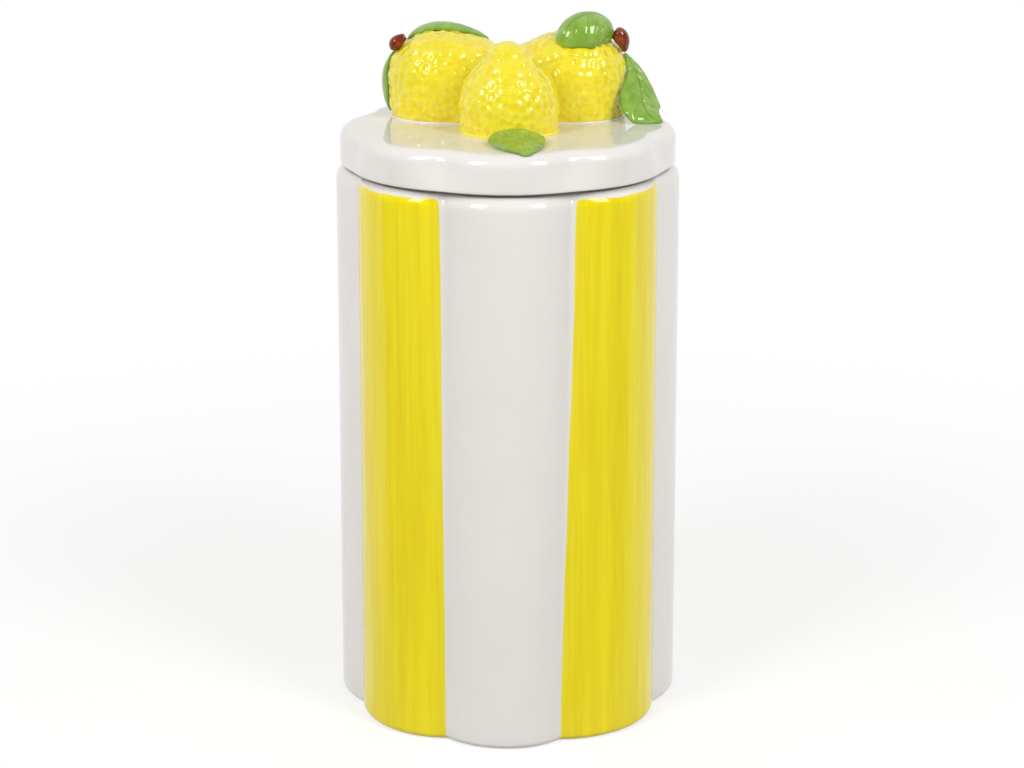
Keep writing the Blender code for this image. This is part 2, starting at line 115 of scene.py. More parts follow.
class Value:
    """A number in a node tree: arithmetic on it adds Math nodes."""

    def __init__(self, tree, socket):
        self.tree = tree
        self.socket = socket

    def math(self, operation, *others):
        return number(self.tree, "ShaderNodeMath", (self, *others), operation=operation)

    __add__ = __radd__ = partialmethod(math, "ADD")
    __sub__ = partialmethod(math, "SUBTRACT")
    __mul__ = __rmul__ = partialmethod(math, "MULTIPLY")
    __truediv__ = partialmethod(math, "DIVIDE")

    def __rsub__(self, other):
        return self * -1.0 + other

    def clamped(self):
        return self.math("MINIMUM", 1.0).math("MAXIMUM", 0.0)

    def ramp(self, low, high):
        """0 at low and 1 at high, with a smooth turn between them; low may be above high."""
        plugs = {"Value": self, "From Min": low, "From Max": high}
        return number(self.tree, "ShaderNodeMapRange", plugs, interpolation_type="SMOOTHSTEP")


def split_xyz(tree, vector):
    node = add_node(tree, "ShaderNodeSeparateXYZ", [vector])
    return [Value(tree, socket) for socket in node.outputs]


def from_axis(x, y):
    return (x * x + y * y).math("SQRT")


print("node trees can be written as arithmetic")

# %% [markdown]
# A Geometry Nodes tree gets its sizes through named inputs. The tree's first evaluation must
# already have them, so they are set on the modifier, by the sockets' identifiers, before that.
# The result is taken as a plain mesh and the modifier goes away with its helper object.

# %% Start, end and run a Geometry Nodes tree
SOCKET_KINDS = {"float": "NodeSocketFloat", "int": "NodeSocketInt", "Material": "NodeSocketMaterial"}


def start_tree(name, sizes):
    tree = bpy.data.node_groups.new(name, "GeometryNodeTree")
    tree.interface.new_socket("Geometry", in_out="INPUT", socket_type="NodeSocketGeometry")
    for label, size in sizes.items():
        tree.interface.new_socket(label, in_out="INPUT", socket_type=SOCKET_KINDS[type(size).__name__])
    tree.interface.new_socket("Geometry", in_out="OUTPUT", socket_type="NodeSocketGeometry")
    source = add_node(tree, "NodeGroupInput")
    values = {socket.name: Value(tree, socket) for socket in source.outputs if socket.name in sizes}
    return tree, source.outputs["Geometry"], values


def end_tree(tree, geometry, glaze):
    real = result_of(tree, "GeometryNodeRealizeInstances", {"Geometry": geometry})
    smooth = result_of(tree, "GeometryNodeSetShadeSmooth", {"Geometry": real})
    painted = result_of(tree, "GeometryNodeSetMaterial", {"Geometry": smooth, "Material": glaze})
    add_node(tree, "NodeGroupOutput", [painted])
    return tree


def plain_mesh(worker, name):
    """The object's evaluated mesh; the object and its modifiers are removed."""
    graph = bpy.context.evaluated_depsgraph_get()
    mesh = bpy.data.meshes.new_from_object(worker.evaluated_get(graph))
    mesh.name = name
    bpy.data.objects.remove(worker)
    return mesh


def put_in_scene(name, data):
    item = bpy.data.objects.new(name, data)
    bpy.context.scene.collection.objects.link(item)
    return item


def add_tree(worker, tree, sizes):
    modifier = set_up(worker.modifiers.new(tree.name, "NODES"), node_group=tree)
    for item in tree.interface.items_tree:
        if item.in_out == "INPUT" and item.name in sizes:
            modifier[item.identifier] = sizes[item.name]


def grow(name, mesh, tree, sizes):
    worker = put_in_scene(name + "_worker", mesh)
    add_tree(worker, tree, sizes)
    return plain_mesh(worker, name)


print("kinds of input:", ", ".join(SOCKET_KINDS))

# %% Common steps in a Geometry Nodes tree
def store_value(tree, geometry, name, value):
    plugs = {"Geometry": geometry, "Name": name, "Value": value}
    return result_of(tree, "GeometryNodeStoreNamedAttribute", plugs, data_type="FLOAT", domain="POINT")


def stored_value(tree, name):
    return number(tree, "GeometryNodeInputNamedAttribute", {"Name": name}, data_type="FLOAT")


def soft_noise(tree, size):
    """Noise from 0 to 1 whose patches are about size metres across."""
    return number(tree, "ShaderNodeTexNoise", {"Scale": 1 / size, "Detail": 1.0})


def push_in(tree, geometry, depth):
    """Moves each point inwards, against its normal."""
    plugs = {"Vector": result_of(tree, "GeometryNodeInputNormal"), "Scale": depth * -1.0}
    offset = result_of(tree, "ShaderNodeVectorMath", plugs, operation="SCALE")
    return result_of(tree, "GeometryNodeSetPosition", {"Geometry": geometry, "Offset": offset})


print("a tree can store values on points and push points in")

# %% Hand a finished piece to its body
def finish_piece(name, mesh, body, slot, *nodes):
    piece = put_in_scene(name, mesh)
    for node in nodes:
        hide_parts(node)
    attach(piece, body)
    mesh.calc_loop_triangles()
    print(name, "rides on", body, "with", len(mesh.loop_triangles), "triangles")


print("each finished piece will print its body and its triangles")

# %% [markdown]
# Glazed earthenware has two layers: a coloured body or underglaze that scatters light, and a
# clear glaze that mirrors it. A Principled shader does both, with its coat as the clear glaze.
# Only the glaze meets the air, so the body below it has no mirror of its own.
# A flat coat would look like plastic, so a bump of broad, shallow waves goes under it: a glaze
# that has flowed is never quite even.

# %% Colours and the clear glaze
CLEAR_GLAZE_ROUGHNESS = 0.03
WHITE_GLAZE_IOR = 1.5
COLOURED_GLAZE_IOR = 1.65
BODY_ROUGHNESS = 0.5
GLAZE_WAVE = 0.009
GLAZE_WAVE_DEPTH = 0.0002


def screen_colour(red, green, blue):
    """A colour as a screen shows it, 0 to 255, made linear as a shader needs it."""
    shares = (channel / 255 for channel in (red, green, blue))
    return (*(s / 12.92 if s <= 0.04045 else ((s + 0.055) / 1.055) ** 2.4 for s in shares), 1.0)


def start_material(name):
    """A material, its tree, its shader, and the place on the piece as a vector and as x, y, z."""
    material = set_up(bpy.data.materials.new(name), use_nodes=True)
    tree = material.node_tree
    place = add_node(tree, "ShaderNodeTexCoord").outputs["Object"]
    return material, tree, tree.nodes["Principled BSDF"], place, split_xyz(tree, place)


def start_glaze(name, ior=COLOURED_GLAZE_IOR):
    material, tree, shader, place, xyz = start_material(name)
    plug_in(tree, shader, {
        "Roughness": BODY_ROUGHNESS,
        "Specular IOR Level": 0.0,
        "Coat Weight": 1.0,
        "Coat Roughness": CLEAR_GLAZE_ROUGHNESS,
        "Coat IOR": ior,
    })
    return material, tree, shader, place, xyz


def mottle(tree, place, size, detail=2.0, stretch=(1.0, 1.0, 1.0)):
    """Noise from 0 to 1 whose patches are about size metres across, drawn out by stretch."""
    scaled = result_of(tree, "ShaderNodeMapping", {"Vector": place, "Scale": stretch})
    return number(tree, "ShaderNodeTexNoise", {"Vector": scaled, "Scale": 1 / size, "Detail": detail})


def blend_colours(tree, share, first, second):
    plugs = {"Factor": share, "A": first, "B": second}
    return result_of(tree, "ShaderNodeMix", plugs, data_type="RGBA")


def glaze_waves(tree, shader, place, size=GLAZE_WAVE, depth=GLAZE_WAVE_DEPTH):
    plugs = {"Height": mottle(tree, place, size, 1.0), "Distance": depth}
    normal = result_of(tree, "ShaderNodeBump", plugs)
    plug_in(tree, shader, {"Normal": normal, "Coat Normal": normal})


def named_value(tree, name):
    return Value(tree, add_node(tree, "ShaderNodeAttribute", attribute_name=name).outputs["Fac"])


print("the clear glaze bends light by", WHITE_GLAZE_IOR, "over white and", COLOURED_GLAZE_IOR, "over colour")

# %% [markdown]
# The white glaze is warm, and a little darker and greyer where it is thick. Where two pieces
# touch in the kiln the glaze is wiped away, and the pale, matt clay shows: under the foot, on
# the jar's rim and on the lid's seat. The lid's bare lower edge is painted dark brown, a painted
# shadow that draws its seam.

# %% White glaze over pale clay
WHITE_THIN = screen_colour(239, 235, 230)
WHITE_THICK = screen_colour(233, 229, 225)
BARE_CLAY = screen_colour(222, 208, 188)
# Painted shadow: the dark brown on the lid's bare lower edge stands for the shade in its seam.
SEAM_SHADOW_CLAY = screen_colour(62, 42, 27)
GLAZE_PATCH = 0.03
CLAY_GRAIN = 0.0006
CLAY_GRAIN_SHARE = 0.4
BARE_ROUGHNESS = 0.85


def white_colour(tree, place):
    return blend_colours(tree, mottle(tree, place, GLAZE_PATCH), WHITE_THIN, WHITE_THICK)


def wipe_glaze(tree, shader, place, bare, colour, clay_colour=BARE_CLAY):
    """Waves the glaze, and where bare is 1 shows clay: its colour, a rough surface and no gloss."""
    grain = mottle(tree, place, CLAY_GRAIN) * CLAY_GRAIN_SHARE
    clay = blend_colours(tree, grain, clay_colour, BARE_CLAY)
    plug_in(tree, shader, {
        "Base Color": blend_colours(tree, bare, colour, clay),
        "Roughness": bare * (BARE_ROUGHNESS - BODY_ROUGHNESS) + BODY_ROUGHNESS,
        "Coat Weight": 1.0 - bare,
    })
    glaze_waves(tree, shader, place)


print("clay shows on the foot, the rim and the lid's seat")

# %% [markdown]
# The jar is slip-cast and scalloped: eight equal arcs that meet in soft creases. A turned
# profile gives everything that is round, and a Geometry Nodes tree presses the lobes into it,
# because they follow one rule all the way round. The profile's corners are rounded, since no
# glazed edge is sharp. These sizes are the CAD model's own.

# %% The jar's sizes
LOBE_COUNT = 8
JAR_HEIGHT = 0.196
RIM_TIP_RADIUS = 0.060
FOOT_TIP_RADIUS = 0.0612
CREASE_DEPTH = 0.0046
WALL_THICKNESS = 0.0045
SHOULDER_ROUND = 0.005
FOOT_ROUND = 0.0025
FLOOR_THICKNESS = 0.006
FLOOR_ROUND = 0.006
FOOT_RECESS_RADIUS = 0.044
FOOT_RECESS_DEPTH = 0.0015
MOUTH_RADIUS = 0.047
MOUTH_LIP_ROUND = 0.0015
NECK_LAND = 0.010
NECK_SLOPE = 0.007
NECK_ROUND = 0.005
SMALL_ROUND = 0.0006
print("the jar is", JAR_HEIGHT * 1000, "mm tall and", RIM_TIP_RADIUS * 2000, "mm across its rim")

# %% A profile with rounded corners
ROUND_PIECES = 8
PROFILE_STEP = 0.003


def soft_profile(corners):
    """Points down a line of (radius, height, rounding) corners, at most PROFILE_STEP apart."""
    points = [Vector(corners[0][:2])]
    for before, corner, after in zip(corners, corners[1:], corners[2:]):
        spot = Vector(corner[:2])
        back = (Vector(before[:2]) - spot).normalized()
        on = (Vector(after[:2]) - spot).normalized()
        half = back.angle(on) / 2
        centre = spot + (back + on).normalized() * corner[2] / math.sin(half)
        first = spot + back * corner[2] / math.tan(half) - centre
        last = spot + on * corner[2] / math.tan(half) - centre
        for i in range(ROUND_PIECES + 1):
            points.append(centre + first.slerp(last, i / ROUND_PIECES).normalized() * corner[2])
    points.append(Vector(corners[-1][:2]))
    line = [points[0]]
    for point in points[1:]:
        start = line[-1]
        pieces = math.ceil((point - start).length / PROFILE_STEP)
        line += [start.lerp(point, (i + 1) / pieces) for i in range(pieces)]
    return line


def jar_corners():
    neck_bottom = JAR_HEIGHT - NECK_LAND
    return [
        (0.0, FLOOR_THICKNESS, 0.0),
        (FOOT_TIP_RADIUS - WALL_THICKNESS, FLOOR_THICKNESS, FLOOR_ROUND),
        (RIM_TIP_RADIUS - WALL_THICKNESS, neck_bottom - NECK_SLOPE, NECK_ROUND),
        (MOUTH_RADIUS, neck_bottom, NECK_ROUND),
        (MOUTH_RADIUS, JAR_HEIGHT, MOUTH_LIP_ROUND),
        (RIM_TIP_RADIUS, JAR_HEIGHT, SHOULDER_ROUND),
        (FOOT_TIP_RADIUS, 0.0, FOOT_ROUND),
        (FOOT_RECESS_RADIUS, 0.0, SMALL_ROUND),
        (FOOT_RECESS_RADIUS - FOOT_RECESS_DEPTH, FOOT_RECESS_DEPTH, SMALL_ROUND),
        (0.0, FOOT_RECESS_DEPTH, 0.0),
    ]


jar_line = soft_profile(jar_corners())
print("the jar's profile has", len(jar_line), "points")

# %% Turn a profile about the jar's axis
TURN_STEPS = LOBE_COUNT * 30


@contextmanager
def editing(mesh):
    """The mesh as a bmesh, which is written back at the end."""
    shell = bmesh.new()
    shell.from_mesh(mesh)
    yield shell
    shell.to_mesh(mesh)
    shell.free()


def turned_mesh(name, line, steps=TURN_STEPS):
    """A ring of points for each point of the line; a point on the axis is one closed pole."""
    mesh = bpy.data.meshes.new(name)
    with editing(mesh) as shell:
        rings = []
        for radius, height in line:
            count = steps if radius > MERGE_DISTANCE else 1
            turns = [2 * math.pi * i / count for i in range(count)]
            ring = [shell.verts.new((radius * math.cos(t), radius * math.sin(t), height)) for t in turns]
            rings.append(ring * (steps // count))
        if line[0][0] > MERGE_DISTANCE:
            rings.append(rings[0])
        for upper, lower in zip(rings, rings[1:]):
            for i in range(steps):
                j = (i + 1) % steps
                corners = dict.fromkeys((upper[i], upper[j], lower[j], lower[i]))
                if len(corners) > 2:
                    shell.faces.new(list(corners))
        bmesh.ops.recalc_face_normals(shell, faces=shell.faces)
    return mesh


print("each ring has", TURN_STEPS, "points,", TURN_STEPS // LOBE_COUNT, "to a lobe")

# %% [markdown]
# The tree reads each point's angle and radius, finds how far the lobed outline lies inside the
# round one there, and moves the point in by a share of that. The share grows from nothing at the
# round mouth to all of it at the wall. Points are drawn together towards the creases first, so
# that the soft crease has enough of them, and a smooth maximum of the two arcs rounds it. One
# crease of the real jar wanders towards the front on its way down, so the tree turns that one.
# The lid's creases fade on their way down its side. The tree also stores where the stripes go:
# above 0 on every other lobe of the outer wall.

# %% The tree that presses the lobes
CREASE_CROWDING = 0.7
SURFACE_WAVE = 0.035
SURFACE_WAVE_DEPTH = 0.0002
WANDER_REACH = math.radians(20)


def arc_reach(turn, centre, arc_radius):
    """How far from the axis the lobe's arc lies at an angle from the lobe's middle."""
    side = turn.math("SINE") * centre
    return turn.math("COSINE") * centre + (arc_radius * arc_radius - side * side).math("SQRT")


def make_lobe_tree(sizes):
    tree, geometry, size = start_tree("Press lobes", sizes)
    half = math.pi / LOBE_COUNT
    x, y, z = split_xyz(tree, result_of(tree, "GeometryNodeInputPosition"))
    radius = from_axis(x, y)
    angle = y.math("ARCTAN2", x)
    turn = angle.math("WRAP", half, -half)
    crowded = turn + (turn * (math.pi / half)).math("SINE") * (CREASE_CROWDING * half / math.pi)
    crease_radius = size["Tip radius"] - size["Crease depth"]
    rise = size["Tip radius"] * size["Tip radius"] - crease_radius * crease_radius
    centre = rise / ((size["Tip radius"] - crease_radius * math.cos(half)) * 2.0)
    arc_radius = size["Tip radius"] - centre
    away = crowded.math("ABSOLUTE")
    own = arc_reach(away, centre, arc_radius)
    next_one = arc_reach(2 * half - away, centre, arc_radius)
    outline = own.math("SMOOTH_MAX", next_one, size["Softness"])
    share = ((radius - size["Round to"]) / (size["Full from"] - size["Round to"])).clamped()
    up = ((z - size["Side bottom"]) / (size["Side top"] - size["Side bottom"])).clamped()
    fade = up + (1.0 - up) * size["Lower share"]
    reach = radius - share * fade * (size["Tip radius"] - outline)
    even_angle = angle - turn + crowded
    off_crease = (even_angle - (half - math.pi / 2)).math("ABSOLUTE")
    lean = size["Wander"] * off_crease.ramp(WANDER_REACH, 0.0) * z.ramp(JAR_HEIGHT, 0.0)
    way = even_angle + lean
    plugs = (reach * way.math("COSINE"), reach * way.math("SINE"), z)
    spot = result_of(tree, "ShaderNodeCombineXYZ", plugs)
    outside = radius.ramp(size["Outside from"], size["Outside from"] + SMALL_ROUND)
    stripe = (even_angle * (LOBE_COUNT / 2)).math("COSINE") * -1.0
    stored = store_value(tree, geometry, "stripe", (stripe + 1.0) * outside - 1.0)
    pressed = result_of(tree, "GeometryNodeSetPosition", {"Geometry": stored, "Position": spot})
    waved = push_in(tree, pressed, soft_noise(tree, SURFACE_WAVE) * SURFACE_WAVE_DEPTH * share)
    return end_tree(tree, waved, size["Glaze"])


print("points crowd towards the creases by a share of", CREASE_CROWDING)

# %% [markdown]
# The yellow stripes are brushed on every other lobe and fill it from crease to crease. The tree
# stored a stripe value on the points, above 0 on the yellow lobes, so the paint follows the
# creases. Noise makes the painted edge wander, and noise that is drawn out along Z gives the
# streaks of the brush. Up on the shoulder the paint stops short of the seam.

# %% Yellow stripes under the glaze
STRIPE_YELLOW = screen_colour(247, 230, 20)
STRIPE_DEEP = screen_colour(237, 214, 8)
STRIPE_THIN = screen_colour(238, 225, 60)
STRIPE_TOP = 0.1939
STRIPE_TOP_WOBBLE = 0.0016
STRIPE_PATCH = 0.010
STRIPE_EDGE_PER_METRE = 72.0
STRIPE_SIDE_INSET = 0.0012
STRIPE_SIDE_WOBBLE = 0.0008
STRIPE_CORNER = 0.004
STRIPE_SOFTNESS = 0.00025
SIDE_STRETCH = (1.0, 1.0, 0.3)
TOP_STRETCH = (1.0, 1.0, 0.0)
STREAK_WIDTH = 0.0045
FINE_STREAK_WIDTH = 0.0012
STREAK_STRETCH = (1.0, 1.0, 0.035)
STREAK_RANGE = (0.3, 0.7)
BROAD_STREAK_SHARE = 0.6
THIN_EDGE_RANGE = (0.35, 0.1)
THIN_EDGE_SHARE = 0.5


def stripe_mask(tree, place, height):
    """1 inside the painted stripes, with hand-painted edges and rounded upper corners."""
    inset = named_value(tree, "stripe") / STRIPE_EDGE_PER_METRE
    inset = inset - height * (STRIPE_SIDE_INSET / JAR_HEIGHT)
    side_noise = mottle(tree, place, STRIPE_PATCH, 2.0, SIDE_STRETCH)
    inset = inset + (side_noise - 0.5) * STRIPE_SIDE_WOBBLE
    top_noise = mottle(tree, place, STRIPE_PATCH, 1.0, TOP_STRETCH)
    below_top = STRIPE_TOP - height + (top_noise - 0.5) * STRIPE_TOP_WOBBLE
    edge = inset.math("SMOOTH_MIN", below_top, STRIPE_CORNER)
    return edge.ramp(-STRIPE_SOFTNESS, STRIPE_SOFTNESS)


def stripe_colour(tree, place):
    broad = mottle(tree, place, STREAK_WIDTH, 2.0, STREAK_STRETCH)
    fine = mottle(tree, place, FINE_STREAK_WIDTH, 1.0, STREAK_STRETCH)
    streaks = broad * BROAD_STREAK_SHARE + fine * (1 - BROAD_STREAK_SHARE)
    colour = blend_colours(tree, streaks.ramp(*STREAK_RANGE), STRIPE_DEEP, STRIPE_YELLOW)
    near_edge = named_value(tree, "stripe").ramp(*THIN_EDGE_RANGE)
    thin = near_edge * fine.ramp(*STREAK_RANGE) * THIN_EDGE_SHARE
    return blend_colours(tree, thin, colour, STRIPE_THIN)


print("the paint stops", round((JAR_HEIGHT - STRIPE_TOP) * 1000, 1), "mm below the rim")

# %% Build the jar
FOOT_BARE_BELOW = 0.0006
FOOT_BARE_FROM = 0.040
FOOT_BARE_BLEND = 0.0005
SEAT_BARE_ABOVE = JAR_HEIGHT - 0.0001


def make_jar_glaze():
    material, tree, shader, place, (x, y, z) = start_glaze("striped_white_glaze", WHITE_GLAZE_IOR)
    radius = from_axis(x, y)
    foot = z.ramp(FOOT_BARE_BELOW + MERGE_DISTANCE, FOOT_BARE_BELOW)
    foot = foot * radius.ramp(FOOT_BARE_FROM, FOOT_BARE_FROM + FOOT_BARE_BLEND)
    seat = z.ramp(SEAT_BARE_ABOVE, SEAT_BARE_ABOVE + MERGE_DISTANCE)
    seat = seat * radius.ramp(MOUTH_RADIUS + MOUTH_LIP_ROUND, MOUTH_RADIUS + 2 * MOUTH_LIP_ROUND)
    painted = stripe_mask(tree, place, z)
    colour = blend_colours(tree, painted, white_colour(tree, place), stripe_colour(tree, place))
    wipe_glaze(tree, shader, place, foot.math("MAXIMUM", seat), colour)
    return material


jar_sizes = {
    "Tip radius": RIM_TIP_RADIUS,
    "Crease depth": CREASE_DEPTH,
    "Softness": 0.0014,
    "Round to": MOUTH_RADIUS + MOUTH_LIP_ROUND,
    "Full from": RIM_TIP_RADIUS - WALL_THICKNESS,
    "Side bottom": 0.0,
    "Side top": JAR_HEIGHT,
    "Lower share": 1.0,
    "Outside from": RIM_TIP_RADIUS - WALL_THICKNESS / 2,
    "Wander": math.radians(-3.3),
    "Glaze": make_jar_glaze(),
}
lobe_tree = make_lobe_tree(jar_sizes)
jar_mesh = grow("canister_body_glazed", turned_mesh("jar_round", jar_line), lobe_tree, jar_sizes)
finish_piece("canister_body_glazed", jar_mesh, "canister", "white_glaze", "canister_body")

# %% [markdown]
# The lid is a second casting: a scalloped plate, hollow below, with a round plug that reaches
# into the mouth and a groove for the seal. The same tree presses its lobes. Three kiln vents
# under the lemons let the air out of their hollows, and a Boolean cuts them.

# %% The lid's sizes
JOINT_GAP = 0.0003
LID_TIP_RADIUS = 0.0585
LID_CREASE_DEPTH = 0.0042
LID_HEIGHT = 0.0135
LID_TOP_ROUND = 0.0045
LID_LOWER_ROUND = 0.0014
LID_LOWER_CREASE_SHARE = 0.3
LID_WALL = 0.0045
LID_CEILING_ROUND = 0.004
PLUG_CLEARANCE = 0.0012
PLUG_DEPTH = 0.012
PLUG_WALL = 0.0055
PLUG_ROUND = 0.0012
GROOVE_DROP = 0.003
GROOVE_HEIGHT = 0.0045
GROOVE_DEPTH = 0.0022
LID_SEAT = JAR_HEIGHT + JOINT_GAP
LID_TOP = LID_SEAT + LID_HEIGHT
LID_CEILING = LID_TOP - LID_WALL
PLUG_RADIUS = MOUTH_RADIUS - PLUG_CLEARANCE
GROOVE_RADIUS = PLUG_RADIUS - GROOVE_DEPTH
GROOVE_TOP = LID_SEAT - GROOVE_DROP
GROOVE_BOTTOM = GROOVE_TOP - GROOVE_HEIGHT


def lid_corners():
    plug_bottom = LID_SEAT - PLUG_DEPTH
    plug_inner = PLUG_RADIUS - PLUG_WALL
    return [
        (0.0, LID_TOP, 0.0),
        (LID_TIP_RADIUS, LID_TOP, LID_TOP_ROUND),
        (LID_TIP_RADIUS, LID_SEAT, LID_LOWER_ROUND),
        (PLUG_RADIUS, LID_SEAT, SMALL_ROUND),
        (PLUG_RADIUS, GROOVE_TOP, SMALL_ROUND / 2),
        (GROOVE_RADIUS, GROOVE_TOP, SMALL_ROUND / 2),
        (GROOVE_RADIUS, GROOVE_BOTTOM, SMALL_ROUND / 2),
        (PLUG_RADIUS, GROOVE_BOTTOM, SMALL_ROUND / 2),
        (PLUG_RADIUS, plug_bottom, PLUG_ROUND),
        (plug_inner, plug_bottom, PLUG_ROUND),
        (plug_inner, LID_CEILING, LID_CEILING_ROUND),
        (0.0, LID_CEILING, 0.0),
    ]


print("the lid's top is at", round(LID_TOP * 1000, 1), "mm")

# %% The lid's glaze
BARE_EDGE_HEIGHT = 0.0008


def make_lid_glaze():
    material, tree, shader, place, (x, y, z) = start_glaze("lid_white_glaze", WHITE_GLAZE_IOR)
    # A bare strip along the lid's lower edge, coloured dark brown as a painted shadow of the seam.
    low = z.ramp(LID_SEAT + BARE_EDGE_HEIGHT, LID_SEAT + BARE_EDGE_HEIGHT / 2)
    bare = low * from_axis(x, y).ramp(PLUG_RADIUS + SMALL_ROUND, PLUG_RADIUS + 2 * SMALL_ROUND)
    wipe_glaze(tree, shader, place, bare, white_colour(tree, place), SEAM_SHADOW_CLAY)
    return material


lid_glaze = make_lid_glaze()
print("made", lid_glaze.name)

# %% [markdown]
# The fruit's places come next, because the vents are cut under them. Each lemon is kept as its
# widest point, the way its stem end points and its outline from the stem end to the nipple.

# %% The lemons' places and outlines
LEMON_LENGTH = 0.046
LEMON_RADIUS = 0.0174
LEMON_WALL = 0.004
UPRIGHT_LEMON_SHARES = (
    (0.0, 0.0), (0.03, 0.36), (0.09, 0.60), (0.17, 0.80), (0.28, 0.94), (0.46, 1.0), (0.58, 0.98),
    (0.69, 0.89), (0.765, 0.755), (0.81, 0.65), (0.855, 0.545), (0.90, 0.43), (0.95, 0.32),
    (0.98, 0.19), (1.0, 0.0),
)
LYING_LEMON_SHARES = (
    (0.0, 0.0), (0.012, 0.22), (0.04, 0.38), (0.09, 0.57), (0.16, 0.755), (0.25, 0.89), (0.36, 0.97),
    (0.48, 1.0), (0.60, 0.99), (0.71, 0.95), (0.80, 0.87), (0.875, 0.735), (0.935, 0.55),
    (0.975, 0.35), (1.0, 0.0),
)


class Lemon:
    def __init__(self, name, place, stem_way, shares):
        self.name = name
        self.centre = Vector(place) + Vector((0.0, 0.0, LID_TOP))
        self.stem_way = Vector(stem_way).normalized()
        self.shares = shares
        self.waist = max(shares, key=lambda spot: spot[1])[0]


front_lemon = Lemon("lemon_front", (0.0004, -0.0135, 0.0062), (0.03, 0.04, -1.0), UPRIGHT_LEMON_SHARES)
left_lemon = Lemon("lemon_left", (-0.0204, 0.0135, 0.0128), (-0.97, 0.04, 0.20), LYING_LEMON_SHARES)
right_lemon = Lemon("lemon_right", (0.0206, 0.0135, 0.0130), (0.95, 0.02, 0.28), LYING_LEMON_SHARES)
LEMONS = (front_lemon, left_lemon, right_lemon)
print("lemons:", ", ".join(lemon.name for lemon in LEMONS))

# %% Build the lid and cut its vents
VENT_RADIUS = 0.002
VENT_SIDES = 24
CUT_OVERRUN = 0.003


def vent_rods():
    mesh = bpy.data.meshes.new("vent_rods")
    bottom, top = LID_CEILING - CUT_OVERRUN, LID_TOP + CUT_OVERRUN
    with editing(mesh) as rods:
        for lemon in LEMONS:
            rod = bmesh.ops.create_cone(
                rods, cap_ends=True, segments=VENT_SIDES, radius1=VENT_RADIUS, radius2=VENT_RADIUS,
                depth=top - bottom,
            )
            middle = (lemon.centre.x, lemon.centre.y, (top + bottom) / 2)
            bmesh.ops.translate(rods, verts=rod["verts"], vec=middle)
    return put_in_scene("vent_rods", mesh)


lid_sizes = {
    "Tip radius": LID_TIP_RADIUS,
    "Crease depth": LID_CREASE_DEPTH,
    "Softness": 0.0045,
    "Round to": PLUG_RADIUS,
    "Full from": LID_TIP_RADIUS - LID_TOP_ROUND,
    "Side bottom": LID_SEAT,
    "Side top": LID_TOP - LID_TOP_ROUND,
    "Lower share": LID_LOWER_CREASE_SHARE,
    "Outside from": LID_TIP_RADIUS,
    "Wander": 0.0,
    "Glaze": lid_glaze,
}
lid_round = turned_mesh("lid_round", soft_profile(lid_corners()))
worker = put_in_scene("lid_worker", grow("lid_pressed", lid_round, lobe_tree, lid_sizes))
rods = vent_rods()
set_up(worker.modifiers.new("Vents", "BOOLEAN"), operation="DIFFERENCE", solver="EXACT", object=rods)
lid_mesh = plain_mesh(worker, "lid_glazed")
bpy.data.objects.remove(rods)
finish_piece("lid_glazed", lid_mesh, "lid", "white_glaze", "lid")

# %% [markdown]
# The seal is a band of soft, cloudy silicone in the plug's groove, with two thin fins that brush
# the mouth. It is round all the way, so its profile is only turned. Silicone lets some light in,
# so its shader scatters light under the surface and has a satin sheen instead of a glaze.

# %% Build the seal
SEAL_BAND = 0.0014
SEAL_FIN_THICKNESS = 0.0009
SEAL_FIN_DROOP = 0.0006
SEAL_ROUND = 0.00025
SILICONE = screen_colour(232, 231, 226)
SILICONE_DUSTY = screen_colour(221, 219, 212)
SILICONE_PATCH = 0.006
SILICONE_ROUGHNESS = 0.38
SILICONE_DUST_ROUGHNESS = 0.15
SILICONE_SCATTER = 0.3


def seal_line():
    inner = GROOVE_RADIUS + JOINT_GAP
    band = inner + SEAL_BAND
    fin_tip = MOUTH_RADIUS - JOINT_GAP
    top = GROOVE_TOP - JOINT_GAP
    bottom = GROOVE_BOTTOM + JOINT_GAP
    spots = [
        (inner, (top + bottom) / 2),
        (inner, top),
        (band, top),
        (fin_tip, top - SEAL_FIN_DROOP),
        (fin_tip, top - SEAL_FIN_DROOP - SEAL_FIN_THICKNESS),
        (band, (top + bottom) / 2),
        (fin_tip, bottom + SEAL_FIN_THICKNESS),
        (fin_tip, bottom),
        (inner, bottom),
        (inner, (top + bottom) / 2),
    ]
    return soft_profile([(*spot, SEAL_ROUND) for spot in spots])[:-1]


def make_silicone():
    material, tree, shader, place, _ = start_material("cloudy_silicone")
    cloudy = mottle(tree, place, SILICONE_PATCH)
    plug_in(tree, shader, {
        "Base Color": blend_colours(tree, cloudy, SILICONE, SILICONE_DUSTY),
        "Roughness": cloudy * SILICONE_DUST_ROUGHNESS + SILICONE_ROUGHNESS,
        "Subsurface Weight": SILICONE_SCATTER,
        "Subsurface Scale": SEAL_BAND,
    })
    return material


seal_mesh = turned_mesh("seal_ring_soft", seal_line())
seal_mesh.shade_smooth()
seal_mesh.materials.append(make_silicone())
finish_piece("seal_ring_soft", seal_mesh, "seal", "seal_silicone", "seal_ring")

# %% [markdown]
# A real lemon cast has no undercut: below its widest line it runs straight down to the lid. So
# the turned fruit is cut at that line, its edge is drawn down to the lid with a small turn-in,
# and a voxel remesh gives even cells all over, which the pitted skin needs. A copy of this smooth
# surface is kept, because the leaves are draped over it.

# %% Shape the smooth fruit
LEMON_STEPS = 96
OUTLINE_PIECES = 5
SKIN_CELL = 0.00034
SKIN_SMOOTHING = 4
SKIRT_ROWS = 8
SKIRT_LEAN = 0.03
SKIRT_TUCK = 0.05
SUNK = 0.0002


